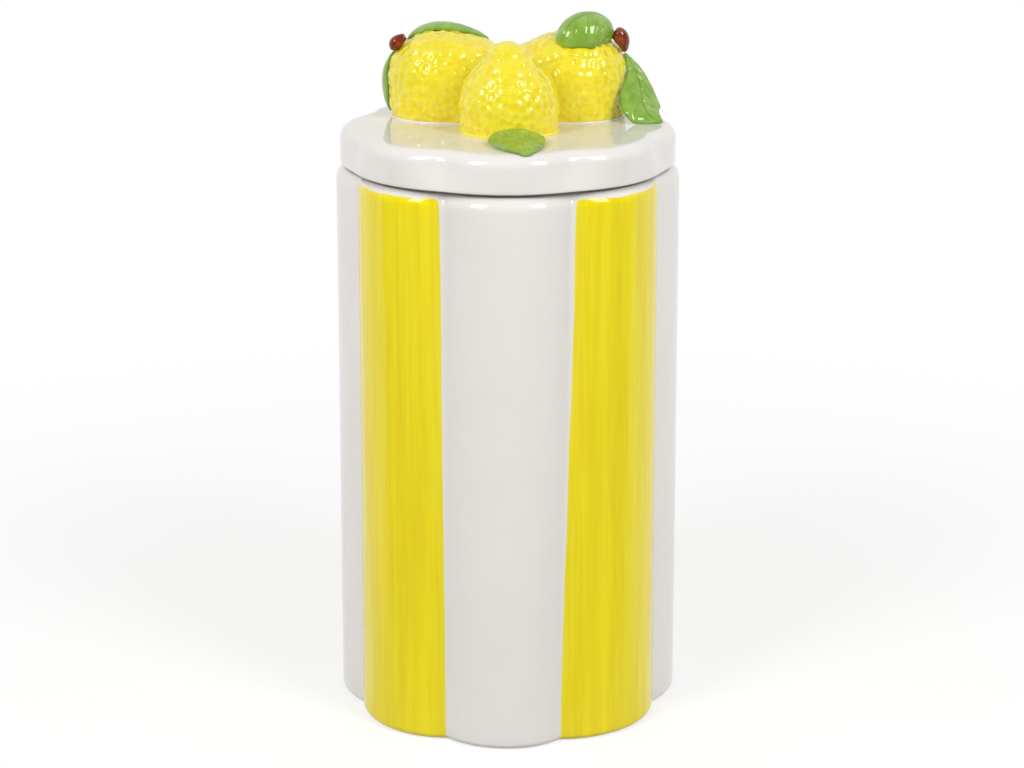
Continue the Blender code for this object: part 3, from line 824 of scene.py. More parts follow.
def smooth_line(points, pieces):
    """A smooth curve through the points, with that many pieces from each to the next."""
    ends = [2 * points[0] - points[1], *points, 2 * points[-1] - points[-2]]
    line = [points[0]]
    for a, b, c, d in zip(ends, ends[1:], ends[2:], ends[3:]):
        for i in range(1, pieces + 1):
            t = i / pieces
            bend = (2 * a - 5 * b + 4 * c - d) * t**2 + (3 * b - 3 * c + d - a) * t**3
            line.append((2 * b + (c - a) * t + bend) / 2)
    return line


def widest_plane(lemon, radius):
    """The normal of the plane through the fruit's widest line as seen from above."""
    half_length = LEMON_LENGTH / 2
    lean = lemon.stem_way * lemon.stem_way.z * (1 / radius**2 - 1 / half_length**2)
    return (Vector((0.0, 0.0, 1 / radius**2)) - lean).normalized()


def cut_off_below(shell, place, normal, merge=0.0):
    everything = shell.verts[:] + shell.edges[:] + shell.faces[:]
    bmesh.ops.bisect_plane(
        shell, geom=everything, dist=merge, plane_co=place, plane_no=normal, clear_inner=True
    )


def fruit_shell(lemon, skin=0.0):
    """A closed fruit around its place, grown by skin, with its skirt drawn down into the lid."""
    length = LEMON_LENGTH + 2 * skin
    radius = LEMON_RADIUS + skin
    waist = lemon.waist * length
    spots = [Vector((r * radius, l * length - waist)) for l, r in reversed(lemon.shares)]
    line = [Vector((max(p.x, 0.0), p.y)) for p in smooth_line(spots, OUTLINE_PIECES)]
    mesh = turned_mesh(lemon.name, line, LEMON_STEPS)
    mesh.transform((-lemon.stem_way).to_track_quat("Z", "Y").to_matrix().to_4x4())
    with editing(mesh) as shell:
        cut_off_below(shell, (0.0, 0.0, 0.0), widest_plane(lemon, radius), MERGE_DISTANCE)
        hem = [edge for edge in shell.edges if edge.is_boundary]
        floor = LID_TOP - 2 * SUNK - lemon.centre.z
        for row in range(SKIRT_ROWS):
            before, after = row / SKIRT_ROWS, (row + 1) / SKIRT_ROWS
            width = [1 - SKIRT_LEAN * s**2 - SKIRT_TUCK * s**8 for s in (before, after)]
            drawn = bmesh.ops.extrude_edge_only(shell, edges=hem)["geom"]
            for vertex in drawn:
                if isinstance(vertex, bmesh.types.BMVert):
                    vertex.co.xy *= width[1] / width[0]
                    vertex.co.z += (floor - vertex.co.z) * (after - before) / (1 - before)
            hem = [edge for edge in drawn if isinstance(edge, bmesh.types.BMEdge)]
        bmesh.ops.holes_fill(shell, edges=hem)
        bmesh.ops.recalc_face_normals(shell, faces=shell.faces)
        bmesh.ops.translate(shell, verts=shell.verts, vec=lemon.centre)
    return mesh


def even_cells(mesh, name, cell, smoothing):
    """The closed mesh made again from cells of one size, and smoothed a little."""
    worker = put_in_scene(name, mesh)
    set_up(worker.modifiers.new("Even cells", "REMESH"), mode="VOXEL", voxel_size=cell)
    set_up(worker.modifiers.new("Smooth", "SMOOTH"), iterations=smoothing, factor=0.5)
    return plain_mesh(worker, name)


def surface_of(mesh):
    shape = bmesh.new()
    shape.from_mesh(mesh)
    tree = BVHTree.FromBMesh(shape)
    shape.free()
    return tree


for lemon in LEMONS:
    lemon.smooth = even_cells(fruit_shell(lemon), lemon.name + "_smooth", SKIN_CELL, SKIN_SMOOTHING)
    lemon.surface = surface_of(lemon.smooth)
    print(lemon.name, "has", len(lemon.smooth.polygons), "even cells")

# %% [markdown]
# Where the fruits meet each other and the lid, the yellow is painted deeper and more orange:
# painted shade in the crevices. Each point gets its nearness to a crevice as a value, measured to
# the other fruits' surfaces and down to the lid. It also gets a value that is 1 at the nipple,
# where a lemon's skin is smoother.

# %% Measure the crevices
CREVICE_REACH = 0.0022
LID_CREVICE_SHARE = 0.6
NIPPLE_REACH = 0.009


def nearness(distance, reach):
    return math.exp(-max(distance, 0.0) / reach)


def put_values(mesh, **values):
    """Stores lists of numbers on the mesh's points, each under its name."""
    for name, numbers in values.items():
        mesh.attributes.new(name, "FLOAT", "POINT").data.foreach_set("value", numbers)


def measure_crevices(lemon):
    others = [other.surface for other in LEMONS if other is not lemon]
    nipple = lemon.centre - lemon.stem_way * (LEMON_LENGTH - lemon.waist * LEMON_LENGTH)
    crevice, tip = [], []
    for vertex in lemon.smooth.vertices:
        near = max(nearness(other.find_nearest(vertex.co)[3], CREVICE_REACH) for other in others)
        above_lid = nearness(vertex.co.z - LID_TOP, CREVICE_REACH / 2)
        crevice.append(max(near, above_lid * LID_CREVICE_SHARE))
        tip.append(nearness((vertex.co - nipple).length, NIPPLE_REACH))
    put_values(lemon.smooth, crevice=crevice, tip=tip)
    print(lemon.name, "crevice values reach", round(max(crevice), 2))


for lemon in LEMONS:
    measure_crevices(lemon)

# %% [markdown]
# Lemon skin is a net of rounded ridges around round pits, each about 3 mm across here. A
# Geometry Nodes tree scatters the pits' middles evenly over the fruit, then pushes every point in
# by its distance from the nearest middle, as a bowl. Noise warps the bowls a little. They meet in
# a sharp ridge, which a blur rounds. Real dents matter, because the glaze mirrors the lamps as
# bright rings on the ridges.

# %% The tree that presses the pits
PIT_SPACING = 0.0027
PIT_REACH = 0.0021
PIT_DEPTH = 0.0006
PIT_WARP = 0.0007
PIT_WARP_SIZE = 0.003
PIT_DENSITY = 2000000.0
PIT_SIZES = {"Min": 0.75, "Max": 1.2}
RIDGE_BLURS = 4
CREVICE_CALM = 0.7
TIP_CALM = 0.6


def make_pit_tree(sizes):
    tree, geometry, size = start_tree("Press pits", sizes)
    plugs = {
        "Mesh": geometry,
        "Distance Min": size["Pit spacing"],
        "Density Max": PIT_DENSITY,
        "Seed": size["Seed"],
    }
    scatter = "GeometryNodeDistributePointsOnFaces"
    middles = result_of(tree, scatter, plugs, distribute_method="POISSON")
    plugs = {**PIT_SIZES, "Seed": size["Seed"]}
    chance = result_of(tree, "FunctionNodeRandomValue", plugs, data_type="FLOAT")
    place = result_of(tree, "GeometryNodeInputPosition")
    nearest = result_of(tree, "GeometryNodeSampleNearest", {"Geometry": middles}, domain="POINT")
    picks = []
    for kind, field in (("FLOAT_VECTOR", place), ("FLOAT", chance)):
        plugs = {"Geometry": middles, "Value": field, "Index": nearest}
        picks.append(result_of(tree, "GeometryNodeSampleIndex", plugs, data_type=kind, domain="POINT"))
    middle, pit_size = picks[0], Value(tree, picks[1])
    warp = add_node(tree, "ShaderNodeTexNoise", {"Scale": 1 / PIT_WARP_SIZE, "Detail": 1.0}).outputs[1]
    centred = result_of(tree, "ShaderNodeVectorMath", [warp, (0.5, 0.5, 0.5)], operation="SUBTRACT")
    plugs = [centred, (PIT_WARP, PIT_WARP, PIT_WARP), place]
    moved = result_of(tree, "ShaderNodeVectorMath", plugs, operation="MULTIPLY_ADD")
    apart = number(tree, "ShaderNodeVectorMath", [moved, middle], operation="DISTANCE")
    share = apart / (size["Pit reach"] * pit_size)
    plugs = {"Value": (1.0 - share * share).clamped(), "Iterations": RIDGE_BLURS}
    pit = number(tree, "GeometryNodeBlurAttribute", plugs, data_type="FLOAT")
    calm = 1.0 - stored_value(tree, "crevice") * CREVICE_CALM
    calm = calm * (1.0 - stored_value(tree, "tip") * TIP_CALM)
    stored = store_value(tree, geometry, "pit", pit * calm)
    pressed = push_in(tree, stored, pit * calm * size["Pit depth"] * pit_size)
    return end_tree(tree, pressed, size["Glaze"])


print("pits are", PIT_SPACING * 1000, "mm or more apart")

# %% [markdown]
# The lemons' underglaze is a clear yellow. It is painted paler on the ridges, as a painted
# highlight, and deeper in the pits, partly where the glaze pools and partly as painted shade;
# in the crevices it is painted almost orange, as painted shade. Broad patches of a cooler
# yellow keep it from looking like plastic.

# %% Yellow glaze for the lemons
# Painted highlight and shade: the paler ridge yellow, and the deeper pit yellow, which is partly pooled
# glaze.
LEMON_RIDGE = screen_colour(245, 231, 56)
LEMON_PIT_POOL_AND_SHADE = screen_colour(238, 212, 18)
# Painted shade: an orange yellow for the crevices between the fruits and down at the lid.
LEMON_CREVICE_SHADE = screen_colour(226, 182, 8)
LEMON_COOL = screen_colour(236, 224, 40)
LEMON_PATCH = 0.009
COOL_RANGE = (0.45, 0.75)
COOL_SHARE = 0.6
POOL_AND_SHADE_PATCH = 0.0035
POOL_AND_SHADE_RANGE = (0.35, 0.65)
POOL_AND_SHADE_LEAST = 0.2
POOL_AND_SHADE_SPREAD = 0.7
PIT_RANGE = (0.15, 0.75)
CREVICE_SHADE_RANGE = (0.15, 1.0)
LEMON_WAVE = GLAZE_WAVE / 8
FINE_WAVE_DEPTH = GLAZE_WAVE_DEPTH / 8


def make_lemon_glaze():
    material, tree, shader, place, _ = start_glaze("lemon_yellow_glaze")
    # The pits are painted deeper in patches of noise: partly pooled glaze, partly painted shade.
    pit_pool_and_shade = mottle(tree, place, POOL_AND_SHADE_PATCH, 1.0).ramp(*POOL_AND_SHADE_RANGE) * POOL_AND_SHADE_SPREAD + POOL_AND_SHADE_LEAST
    pit_pool_and_shade = named_value(tree, "pit").ramp(*PIT_RANGE) * pit_pool_and_shade
    colour = blend_colours(tree, pit_pool_and_shade, LEMON_RIDGE, LEMON_PIT_POOL_AND_SHADE)
    cool = mottle(tree, place, LEMON_PATCH).ramp(*COOL_RANGE) * COOL_SHARE
    colour = blend_colours(tree, cool, colour, LEMON_COOL)
    # The crevices are painted deeper and more orange, as painted shade.
    deep = named_value(tree, "crevice").ramp(*CREVICE_SHADE_RANGE)
    plug_in(tree, shader, {"Base Color": blend_colours(tree, deep, colour, LEMON_CREVICE_SHADE)})
    glaze_waves(tree, shader, place, LEMON_WAVE, FINE_WAVE_DEPTH)
    return material


lemon_glaze = make_lemon_glaze()
print("made", lemon_glaze.name)

# %% [markdown]
# Each casting is hollow and open below. The skin is cut off level just inside the lid's top, a
# plainer fruit that is smaller by the wall's thickness is turned inside out for the hollow, and
# the flat ring between their two edges is filled.

# %% Press the pits and add the hollows
FIRST_PIT_SEED = 11


def open_below(mesh):
    with editing(mesh) as shell:
        cut_off_below(shell, (0.0, 0.0, LID_TOP - SUNK), (0.0, 0.0, 1.0))


def add_hollow(skin, hollow):
    """Joins the hollow, facing inwards, and fills the flat ring between the two open edges."""
    with editing(hollow) as inner:
        bmesh.ops.reverse_faces(inner, faces=inner.faces)
    with editing(skin) as shell:
        shell.from_mesh(hollow)
        rims = [edge for edge in shell.edges if edge.is_boundary]
        bmesh.ops.triangle_fill(shell, edges=rims, use_beauty=True, normal=(0.0, 0.0, -1.0))
        for face in shell.faces:
            set_up(face, smooth=True, material_index=0)


pit_sizes = {
    "Pit spacing": PIT_SPACING,
    "Pit reach": PIT_REACH,
    "Pit depth": PIT_DEPTH,
    "Seed": FIRST_PIT_SEED,
    "Glaze": lemon_glaze,
}
pit_tree = make_pit_tree(pit_sizes)
for lemon in LEMONS:
    skin = grow(lemon.name + "_glazed", lemon.smooth, pit_tree, pit_sizes)
    hollow = fruit_shell(lemon, -LEMON_WALL)
    for mesh in (skin, hollow):
        open_below(mesh)
    add_hollow(skin, hollow)
    finish_piece(lemon.name + "_glazed", skin, "lid", "yellow_glaze", lemon.name)
    pit_sizes["Seed"] += 1

# %% [markdown]
# Glaze pools in the corner where each fruit stands on the lid. Under the two at the back it dries
# as a thin white line, and under the front one the yellow has run out over it. Rays from outside
# find the fruit's edge just above the lid, and a Geometry Nodes tree follows that line with a bead
# that swells and thins.

# %% Pool glaze around the fruit
WHITE_BEAD = {"Bead radius": 0.00038, "Glaze": lid_glaze}
YELLOW_BEAD = {"Bead radius": 0.0008, "Glaze": lemon_glaze}
BEAD_SPACING = 0.0004
BEAD_SIDES = 10
BEAD_SWELL = 0.6
BEAD_PATCH = 0.006
RAY_COUNT = 240
RAY_START = 0.05


def fruit_edge(lemon, height):
    """A closed line around the fruit at a height."""
    points = []
    middle = Vector((lemon.centre.x, lemon.centre.y, height))
    for i in range(RAY_COUNT):
        turn = 2 * math.pi * i / RAY_COUNT
        way = Vector((math.cos(turn), math.sin(turn), 0.0))
        points.append(lemon.surface.ray_cast(middle + way * RAY_START, -way)[0])
    mesh = bpy.data.meshes.new(lemon.name + "_edge")
    mesh.from_pydata(points, [(i, (i + 1) % RAY_COUNT) for i in range(RAY_COUNT)], [])
    return mesh


def make_bead_tree(sizes):
    tree, geometry, size = start_tree("Pool glaze", sizes)
    path = result_of(tree, "GeometryNodeMeshToCurve", {"Mesh": geometry})
    plugs = {"Curve": path, "Length": BEAD_SPACING}
    even = result_of(tree, "GeometryNodeResampleCurve", plugs, mode="LENGTH")
    radius = 1.0 + (soft_noise(tree, BEAD_PATCH) - 0.5) * (2 * BEAD_SWELL)
    sized = result_of(tree, "GeometryNodeSetCurveRadius", {"Curve": even, "Radius": radius})
    plugs = {"Resolution": BEAD_SIDES, "Radius": size["Bead radius"]}
    ring = result_of(tree, "GeometryNodeCurvePrimitiveCircle", plugs)
    width = result_of(tree, "GeometryNodeInputRadius")
    plugs = {"Curve": sized, "Profile Curve": ring, "Scale": width}
    return end_tree(tree, result_of(tree, "GeometryNodeCurveToMesh", plugs), size["Glaze"])


bead_tree = make_bead_tree(WHITE_BEAD)
for lemon in LEMONS:
    in_front = lemon is front_lemon
    sizes, slot = (YELLOW_BEAD, "yellow_glaze") if in_front else (WHITE_BEAD, "white_glaze")
    bead = grow(lemon.name + "_pool", fruit_edge(lemon, LID_TOP + SUNK), bead_tree, sizes)
    finish_piece(lemon.name + "_pool", bead, "lid", slot)

# %% [markdown]
# The leaves are rolled clay, draped while soft: thick at the midrib, thin at the margin, with
# veins pressed into them. Each is a grid that is laid along its midrib and pushed out of the
# fruit, then given its thickness by Solidify and rounded by Subdivision Surface. The veins repeat
# in pairs, so a Geometry Nodes tree presses them, guided by two values on the points: how far
# along the midrib and how far across it.

# %% The tree that presses the veins
VEIN_PAIRS = 6.0
VEIN_LEAN = 1.6
VEIN_WIDTH = 0.16
VEIN_DEPTH = 0.00028
VEIN_FADE = (0.95, 0.55)
MIDRIB_WIDTH = 0.10
MIDRIB_DEPTH = 0.00045
MIDRIB_FADE = 0.12
CLAY_WAVE = 0.005
CLAY_WAVE_DEPTH = 0.0004


def make_vein_tree(sizes):
    tree, geometry, size = start_tree("Press veins", sizes)
    along, across = stored_value(tree, "along"), stored_value(tree, "across")
    away = across.math("ABSOLUTE")
    phase = (along * size["Vein pairs"] - away * VEIN_LEAN).math("FRACT")
    vein = (phase - 0.5).math("ABSOLUTE").ramp(VEIN_WIDTH, 0.0) * away.ramp(*VEIN_FADE)
    midrib = away.ramp(MIDRIB_WIDTH, 0.0)
    ends = along.ramp(0.0, MIDRIB_FADE) * along.ramp(1.0, 1.0 - MIDRIB_FADE)
    groove = (vein * VEIN_DEPTH).math("MAXIMUM", midrib * MIDRIB_DEPTH) * ends * size["Clearness"]
    stored = store_value(tree, geometry, "vein", groove / MIDRIB_DEPTH)
    pressed = push_in(tree, stored, groove + soft_noise(tree, CLAY_WAVE) * CLAY_WAVE_DEPTH)
    return end_tree(tree, pressed, size["Glaze"])


print("each leaf has", int(VEIN_PAIRS), "pairs of veins")

# %% Green glaze for the leaves
LEAF_GREEN = screen_colour(126, 168, 54)
LEAF_DEEP = screen_colour(94, 140, 32)
LEAF_PALE = screen_colour(148, 184, 76)
LEAF_PATCH = 0.004
LEAF_PATCH_RANGE = (0.35, 0.7)
LEAF_WAVE = GLAZE_WAVE / 6
LEAF_EDGE_RANGE = (0.85, 1.0)
LEAF_EDGE_SHARE = 0.3
LEAF_VEIN_SHARE = 0.7


def make_leaf_glaze():
    material, tree, shader, place, _ = start_glaze("leaf_green_glaze")
    patches = mottle(tree, place, LEAF_PATCH).ramp(*LEAF_PATCH_RANGE)
    colour = blend_colours(tree, patches, LEAF_GREEN, LEAF_PALE)
    margin = named_value(tree, "across").math("ABSOLUTE").ramp(*LEAF_EDGE_RANGE)
    colour = blend_colours(tree, margin * LEAF_EDGE_SHARE, colour, LEAF_DEEP)
    deep = named_value(tree, "vein").clamped() * LEAF_VEIN_SHARE
    plug_in(tree, shader, {"Base Color": blend_colours(tree, deep, colour, LEAF_DEEP)})
    glaze_waves(tree, shader, place, LEAF_WAVE, FINE_WAVE_DEPTH)
    return material


leaf_glaze = make_leaf_glaze()
print("made", leaf_glaze.name)

# %% [markdown]
# Each leaf's midrib is a smooth curve through four points, in lemon radii from its lemon's
# widest point, as in the CAD model. The table also gives the leaf's width and thickness, the way
# it faces if it stands free, where it is widest, how pointed its ends are, how much its margin
# waves and how clear its veins are.

# %% The leaves' midribs
@dataclass
class Leaf:
    name: str
    lemon: Lemon
    width: float
    midrib: tuple
    thickness: float = 0.0026
    facing: tuple = None
    widest: float = 0.9
    pointed: float = 1.0
    waves: float = 0.0
    wave_count: float = 3.0
    veins: float = 0.1


LEAVES = (
    Leaf("leaf_left_back", left_lemon, 0.0145,
         ((-0.84, 0.18, 0.76), (-0.40, 0.32, 0.97), (0.34, 0.34, 0.98), (0.80, 0.24, 0.77)),
         thickness=0.0034),
    Leaf("leaf_left_side", left_lemon, 0.013,
         ((-1.05, 0.16, 0.60), (-1.24, 0.19, 0.19), (-1.26, 0.19, -0.27), (-1.25, 0.14, -0.69)),
         thickness=0.0030, widest=1.1, waves=0.10, wave_count=3.5, veins=0.2),
    Leaf("leaf_right_top", right_lemon, 0.0205,
         ((0.97, -0.15, 0.88), (0.65, -0.18, 1.05), (0.27, -0.31, 1.00), (-0.14, -0.62, 0.76)),
         thickness=0.0078, widest=1.0, pointed=0.5, waves=0.08, wave_count=2.5, veins=0.7),
    Leaf("leaf_right_side", right_lemon, 0.0168,
         ((1.12, -0.10, 0.52), (1.40, -0.32, -0.04), (1.47, -0.62, -0.50), (1.90, -0.92, -0.75)),
         facing=(0.50, -0.75, 0.45), widest=1.5, pointed=0.85, veins=0.8),
    Leaf("leaf_front", front_lemon, 0.0195,
         ((0.06, -0.98, -0.16), (0.13, -1.36, -0.28), (0.23, -1.86, -0.34), (0.33, -2.44, -0.40)),
         facing=(0.0, -0.12, 1.0), widest=0.78, pointed=0.85, veins=0.25),
)
print("leaves:", ", ".join(leaf.name for leaf in LEAVES))

# %% Drape a leaf over the fruit and the lid
LEAF_MARGIN = 0.0009
LEAF_SUNK = 0.0004
LEAF_END_SHARE = 0.10
LEAF_CELLS = {"x_subdivisions": 26, "y_subdivisions": 16}
LEAF_ROUNDING = 2


def between(points, share):
    """A point on the smooth curve through evenly spaced points, from 0 to 1."""
    total = Vector((0.0, 0.0, 0.0))
    last = len(points) - 1
    for i, point in enumerate(points):
        weight = math.prod((share * last - j) / (i - j) for j in range(last + 1) if j != i)
        total += point * weight
    return total


def lid_edge(angle):
    """How far from the axis the lid's lobed edge lies at an angle."""
    half = math.pi / LOBE_COUNT
    crease_radius = LID_TIP_RADIUS - LID_CREASE_DEPTH
    rise = LID_TIP_RADIUS**2 - crease_radius**2
    centre = rise / (2 * (LID_TIP_RADIUS - crease_radius * math.cos(half)))
    turn = (angle + half) % (2 * half) - half
    side = centre * math.sin(turn)
    return centre * math.cos(turn) + math.sqrt((LID_TIP_RADIUS - centre) ** 2 - side**2)


def lid_surface(point):
    """The height of the lid's top, or of its rounded edge, under a point."""
    edge = lid_edge(math.atan2(point.y, point.x))
    past_flat = math.hypot(point.x, point.y) - (edge - LID_TOP_ROUND)
    reach = min(max(past_flat, 0.0), LID_TOP_ROUND)
    return LID_TOP - LID_TOP_ROUND + math.sqrt(LID_TOP_ROUND**2 - reach**2)


def drape(point, hugged):
    """Moves a point out of any fruit, up out of the lid, and down onto the fruit that it hugs."""
    for lemon in LEMONS:
        near, normal, _, _ = lemon.surface.find_nearest(point)
        if lemon is hugged or (point - near).dot(normal) < -LEAF_SUNK:
            point = near - normal * LEAF_SUNK
    return Vector((point.x, point.y, max(point.z, lid_surface(point))))


def leaf_object(leaf):
    bpy.ops.mesh.primitive_grid_add(**LEAF_CELLS, size=2.0)
    sheet = bpy.context.object
    thick = sheet.vertex_groups.new(name="thick")
    midrib = [leaf.lemon.centre + Vector(share) * LEMON_RADIUS for share in leaf.midrib]
    alongs, acrosses = [], []
    step = 1 / (2 * LEAF_CELLS["x_subdivisions"])
    for i, vertex in enumerate(sheet.data.vertices):
        along = (vertex.co.x + 1) / 2
        across = math.sin(vertex.co.y * math.pi / 2)
        alongs.append(along)
        acrosses.append(across)
        spine = between(midrib, along)
        tangent = between(midrib, along + step) - between(midrib, along - step)
        out = Vector(leaf.facing) if leaf.facing else spine - leaf.lemon.centre
        side = tangent.cross(out).normalized()
        belly = max(math.sin(math.pi * along**leaf.widest), 0.0) ** leaf.pointed
        half = leaf.width / 2 * (LEAF_END_SHARE + (1 - LEAF_END_SHARE) * belly)
        half *= 1 - leaf.waves * (0.5 + 0.5 * math.sin(2 * math.pi * leaf.wave_count * along))
        vertex.co = drape(spine - side * half * across, None if leaf.facing else leaf.lemon)
        here = LEAF_MARGIN + (leaf.thickness - LEAF_MARGIN) * (1 - across**2) * belly
        thick.add([i], here / leaf.thickness, "REPLACE")
    put_values(sheet.data, along=alongs, across=acrosses)
    clay = sheet.modifiers.new("Clay", "SOLIDIFY")
    set_up(clay, thickness=leaf.thickness, offset=1.0, vertex_group=thick.name)
    rounding = sheet.modifiers.new("Rounding", "SUBSURF")
    set_up(rounding, levels=LEAF_ROUNDING, render_levels=LEAF_ROUNDING)
    return sheet


vein_sizes = {"Vein pairs": VEIN_PAIRS, "Clearness": 1.0, "Glaze": leaf_glaze}
vein_tree = make_vein_tree(vein_sizes)
for leaf in LEAVES:
    sheet = leaf_object(leaf)
    add_tree(sheet, vein_tree, {**vein_sizes, "Clearness": leaf.veins})
    leaf_mesh = plain_mesh(sheet, leaf.name + "_glazed")
    finish_piece(leaf.name + "_glazed", leaf_mesh, "lid", "leaf_glaze", leaf.name)

# %% [markdown]
# The stems are two thumb-pressed nubs of brown clay. A curve with a radius at each of its points
# gives the rough form, and a voxel remesh with some smoothing melts it into a soft lump, as the
# glaze does. Each point is given in lemon radii, with its share of the stem's radius.

# %% Brown glaze and the two stems
STEM_RADIUS = 0.0021
STEM_ROUNDING = 4
STEM_CELL = 0.00025
STEM_SMOOTHING = 12
STEM_RED = screen_colour(150, 54, 8)
STEM_DARK = screen_colour(98, 20, 2)
STEM_PATCH = 0.0016
STEM_PATCH_RANGE = (0.3, 0.7)
STEM_PIECES = 4
STEMS = (
    ("stem_left", left_lemon, (
        (-0.88, -0.08, 0.88, 0.6), (-1.00, -0.08, 0.81, 1.0), (-1.08, -0.08, 0.73, 1.15),
        (-1.09, -0.08, 0.60, 0.75),
    )),
    ("stem_right", right_lemon, (
        (0.96, -0.24, 0.97, 1.1), (1.05, -0.22, 0.91, 1.35), (1.11, -0.20, 0.81, 1.25),
        (1.14, -0.18, 0.70, 0.9), (1.15, -0.16, 0.58, 0.5),
    )),
)


def make_stem_glaze():
    material, tree, shader, place, _ = start_glaze("stem_brown_glaze")
    patches = mottle(tree, place, STEM_PATCH).ramp(*STEM_PATCH_RANGE)
    plug_in(tree, shader, {"Base Color": blend_colours(tree, patches, STEM_DARK, STEM_RED)})
    glaze_waves(tree, shader, place, STEM_PATCH, GLAZE_WAVE_DEPTH / 4)
    return material


def stem_mesh(name, lemon, spots):
    curve = bpy.data.curves.new(name, "CURVE")
    set_up(curve, dimensions="3D", bevel_depth=STEM_RADIUS, bevel_resolution=STEM_ROUNDING)
    curve.use_fill_caps = True
    spline = curve.splines.new("POLY")
    line = smooth_line([Vector(spot) for spot in spots], STEM_PIECES)
    spline.points.add(len(line) - 1)
    for spot, share in zip(spline.points, line):
        spot.co = (*(lemon.centre + share.xyz * LEMON_RADIUS), 1.0)
        spot.radius = share.w
    mesh = even_cells(plain_mesh(put_in_scene(name, curve), name), name, STEM_CELL, STEM_SMOOTHING)
    mesh.shade_smooth()
    mesh.materials.clear()
    return mesh


stem_glaze = make_stem_glaze()
for name, lemon, spots in STEMS:
    nub = stem_mesh(name + "_glazed", lemon, spots)
    nub.materials.append(stem_glaze)
    finish_piece(name + "_glazed", nub, "lid", "stem_glaze", name)

# %% [markdown]
# The picture is a plain product shot on a white sweep that reaches up behind the object. The
# sweep is white to the camera, and to a mirror or glass that faces it. The room in front of the
# object, behind the camera, is dimmer, so the glaze on the front mirrors little and its colours
# stay deep. The floor keeps its shadow.

# %% Floor
FLOOR_SIZE = 40.0
FLOOR_WHITE = (0.42, 0.42, 0.42, 1.0)
FLOOR_ROUGHNESS = 0.9
SHADOW_REACH = 0.12
WHITE_FROM = 0.5
FLOOR_GLOW = 0.64
SWEEP_FRONT = 0.0
ROOM_FROM = -0.1


def light_rays(tree):
    """1 for a ray from a mirror or through glass, and 1 for a ray from the camera."""
    rays = add_node(tree, "ShaderNodeLightPath").outputs
    mirrored = Value(tree, rays["Is Glossy Ray"]).math("MAXIMUM", rays["Is Transmission Ray"])
    return mirrored, rays["Is Camera Ray"]


def make_floor():
    bpy.ops.mesh.primitive_plane_add(size=FLOOR_SIZE)
    floor = set_up(bpy.context.object, name="studio_floor")
    material, tree, shader, _, (x, y, _) = start_material("studio_floor")
    plugs = {"Base Color": FLOOR_WHITE, "Roughness": FLOOR_ROUGHNESS, "Specular IOR Level": 0.0}
    plug_in(tree, shader, plugs)
    mirrored, camera = light_rays(tree)
    seen = (mirrored * y.ramp(ROOM_FROM, SWEEP_FRONT)).math("MAXIMUM", camera)
    far = from_axis(x, y).ramp(SHADOW_REACH, WHITE_FROM)
    white = result_of(tree, "ShaderNodeEmission", {"Strength": 1.0})
    glow = result_of(tree, "ShaderNodeEmission", {"Strength": seen * FLOOR_GLOW})
    near = result_of(tree, "ShaderNodeAddShader", [shader.outputs[0], glow])
    mix = result_of(tree, "ShaderNodeMixShader", [seen * far, near, white])
    plug_in(tree, tree.nodes["Material Output"], {"Surface": mix})
    floor.data.materials.append(material)
    floor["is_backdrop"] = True


make_floor()
print("the floor is", FLOOR_SIZE, "m across")

# %% World
WORLD_LIGHT = 0.97
CEILING_RANGE = (0.2, 0.95)
CEILING_SHARE = 0.1
SIDE_LIGHT = 0.4
SWEEP_RANGE = (-0.5, 0.5)
ROOM_IN_MIRROR = 0.25


def make_world():
    world = set_up(bpy.data.worlds.new("studio"), use_nodes=True)
    bpy.context.scene.world = world
    tree = world.node_tree
    x, y, z = split_xyz(tree, result_of(tree, "ShaderNodeTexCoord"))
    ceiling = z.ramp(*CEILING_RANGE) * (1.0 - CEILING_SHARE)
    light = (1.0 - ceiling) * (x * x * SIDE_LIGHT + 1.0) * WORLD_LIGHT
    mirrored, camera = light_rays(tree)
    sweep = y.ramp(*SWEEP_RANGE) * (1.0 - ROOM_IN_MIRROR) + ROOM_IN_MIRROR
    light = (light + mirrored * (sweep - light)).math("MAXIMUM", camera)
    plug_in(tree, tree.nodes["Background"], {"Color": (1.0, 1.0, 1.0, 1.0), "Strength": light})


make_world()
print("the world lights the object at", WORLD_LIGHT)

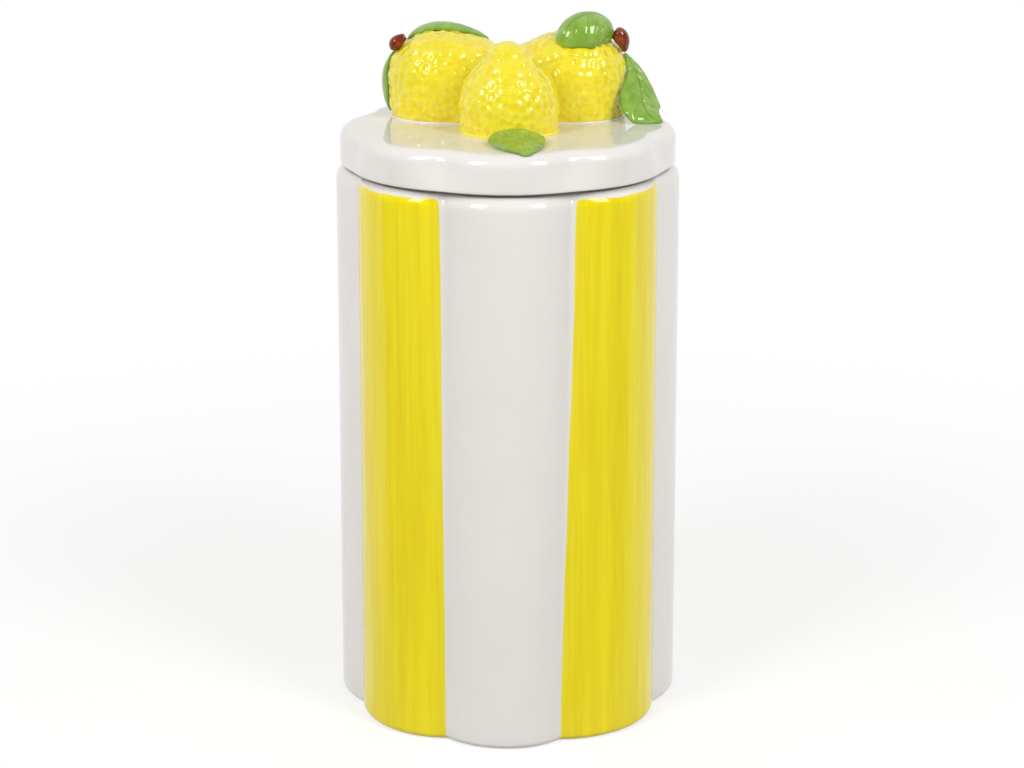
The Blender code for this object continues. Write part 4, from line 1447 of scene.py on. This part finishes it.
# %% Lamps
LAMP_DISTANCE = 1.2
LAMP_WIDTH = 0.36
LAMP_HEIGHT = 0.54
LAMP_ELEVATION = 37
LAMP_POWER = 5.0
LAMP_AZIMUTHS = {"softbox_left": -42, "softbox_right": 44}
AIM = Vector((0.0, 0.0, 0.16))

for name, azimuth in LAMP_AZIMUTHS.items():
    lamp = bpy.data.lights.new(name, "AREA")
    set_up(lamp, shape="RECTANGLE", size=LAMP_WIDTH, size_y=LAMP_HEIGHT, energy=LAMP_POWER)
    around, above = math.radians(azimuth), math.radians(LAMP_ELEVATION)
    way = Vector((math.sin(around) * math.cos(above), -math.cos(around) * math.cos(above), math.sin(above)))
    turn = way.to_track_quat("Z", "Y").to_euler()
    set_up(put_in_scene(name, lamp), location=AIM + way * LAMP_DISTANCE, rotation_euler=turn)
print(len(LAMP_AZIMUTHS), "softboxes at", LAMP_DISTANCE, "m")

# %% [markdown]
# The camera looks a little down at the front lobe, from about 0.9 m, with a long lens. Its place
# and lens come from fitting the jar's outline to the photograph's.

# %% Camera and colour
CAMERA_PLACE = (0.001448, -0.8614, 0.3758)
CAMERA_PITCH = math.radians(16.8475)
CAMERA_LENS = 88.34
SENSOR_WIDTH = 36.0

camera_data = set_up(bpy.data.cameras.new("camera"), lens=CAMERA_LENS, sensor_width=SENSOR_WIDTH)
camera = set_up(put_in_scene("camera", camera_data), location=CAMERA_PLACE)
camera.rotation_euler = (math.pi / 2 - CAMERA_PITCH, 0.0, 0.0)
bpy.context.scene.camera = camera
bpy.context.scene.view_settings.view_transform = "Standard"
print("the lens is", CAMERA_LENS, "mm")

# %% [markdown]
# Both boxes, the CAD model's and the finished model's, are measured and printed. The
# finished model must stay inside the CAD model's box.

# %% Measure and finish
seen_low, seen_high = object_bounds()
sizes = {
    "cad": [list(cad_low), list(cad_high)],
    "visual": [list(seen_low), list(seen_high)],
}
print("CAD box", [round(1000 * c, 2) for c in (*cad_low, *cad_high)], "mm")
print("visual box", [round(1000 * c, 2) for c in (*seen_low, *seen_high)], "mm")
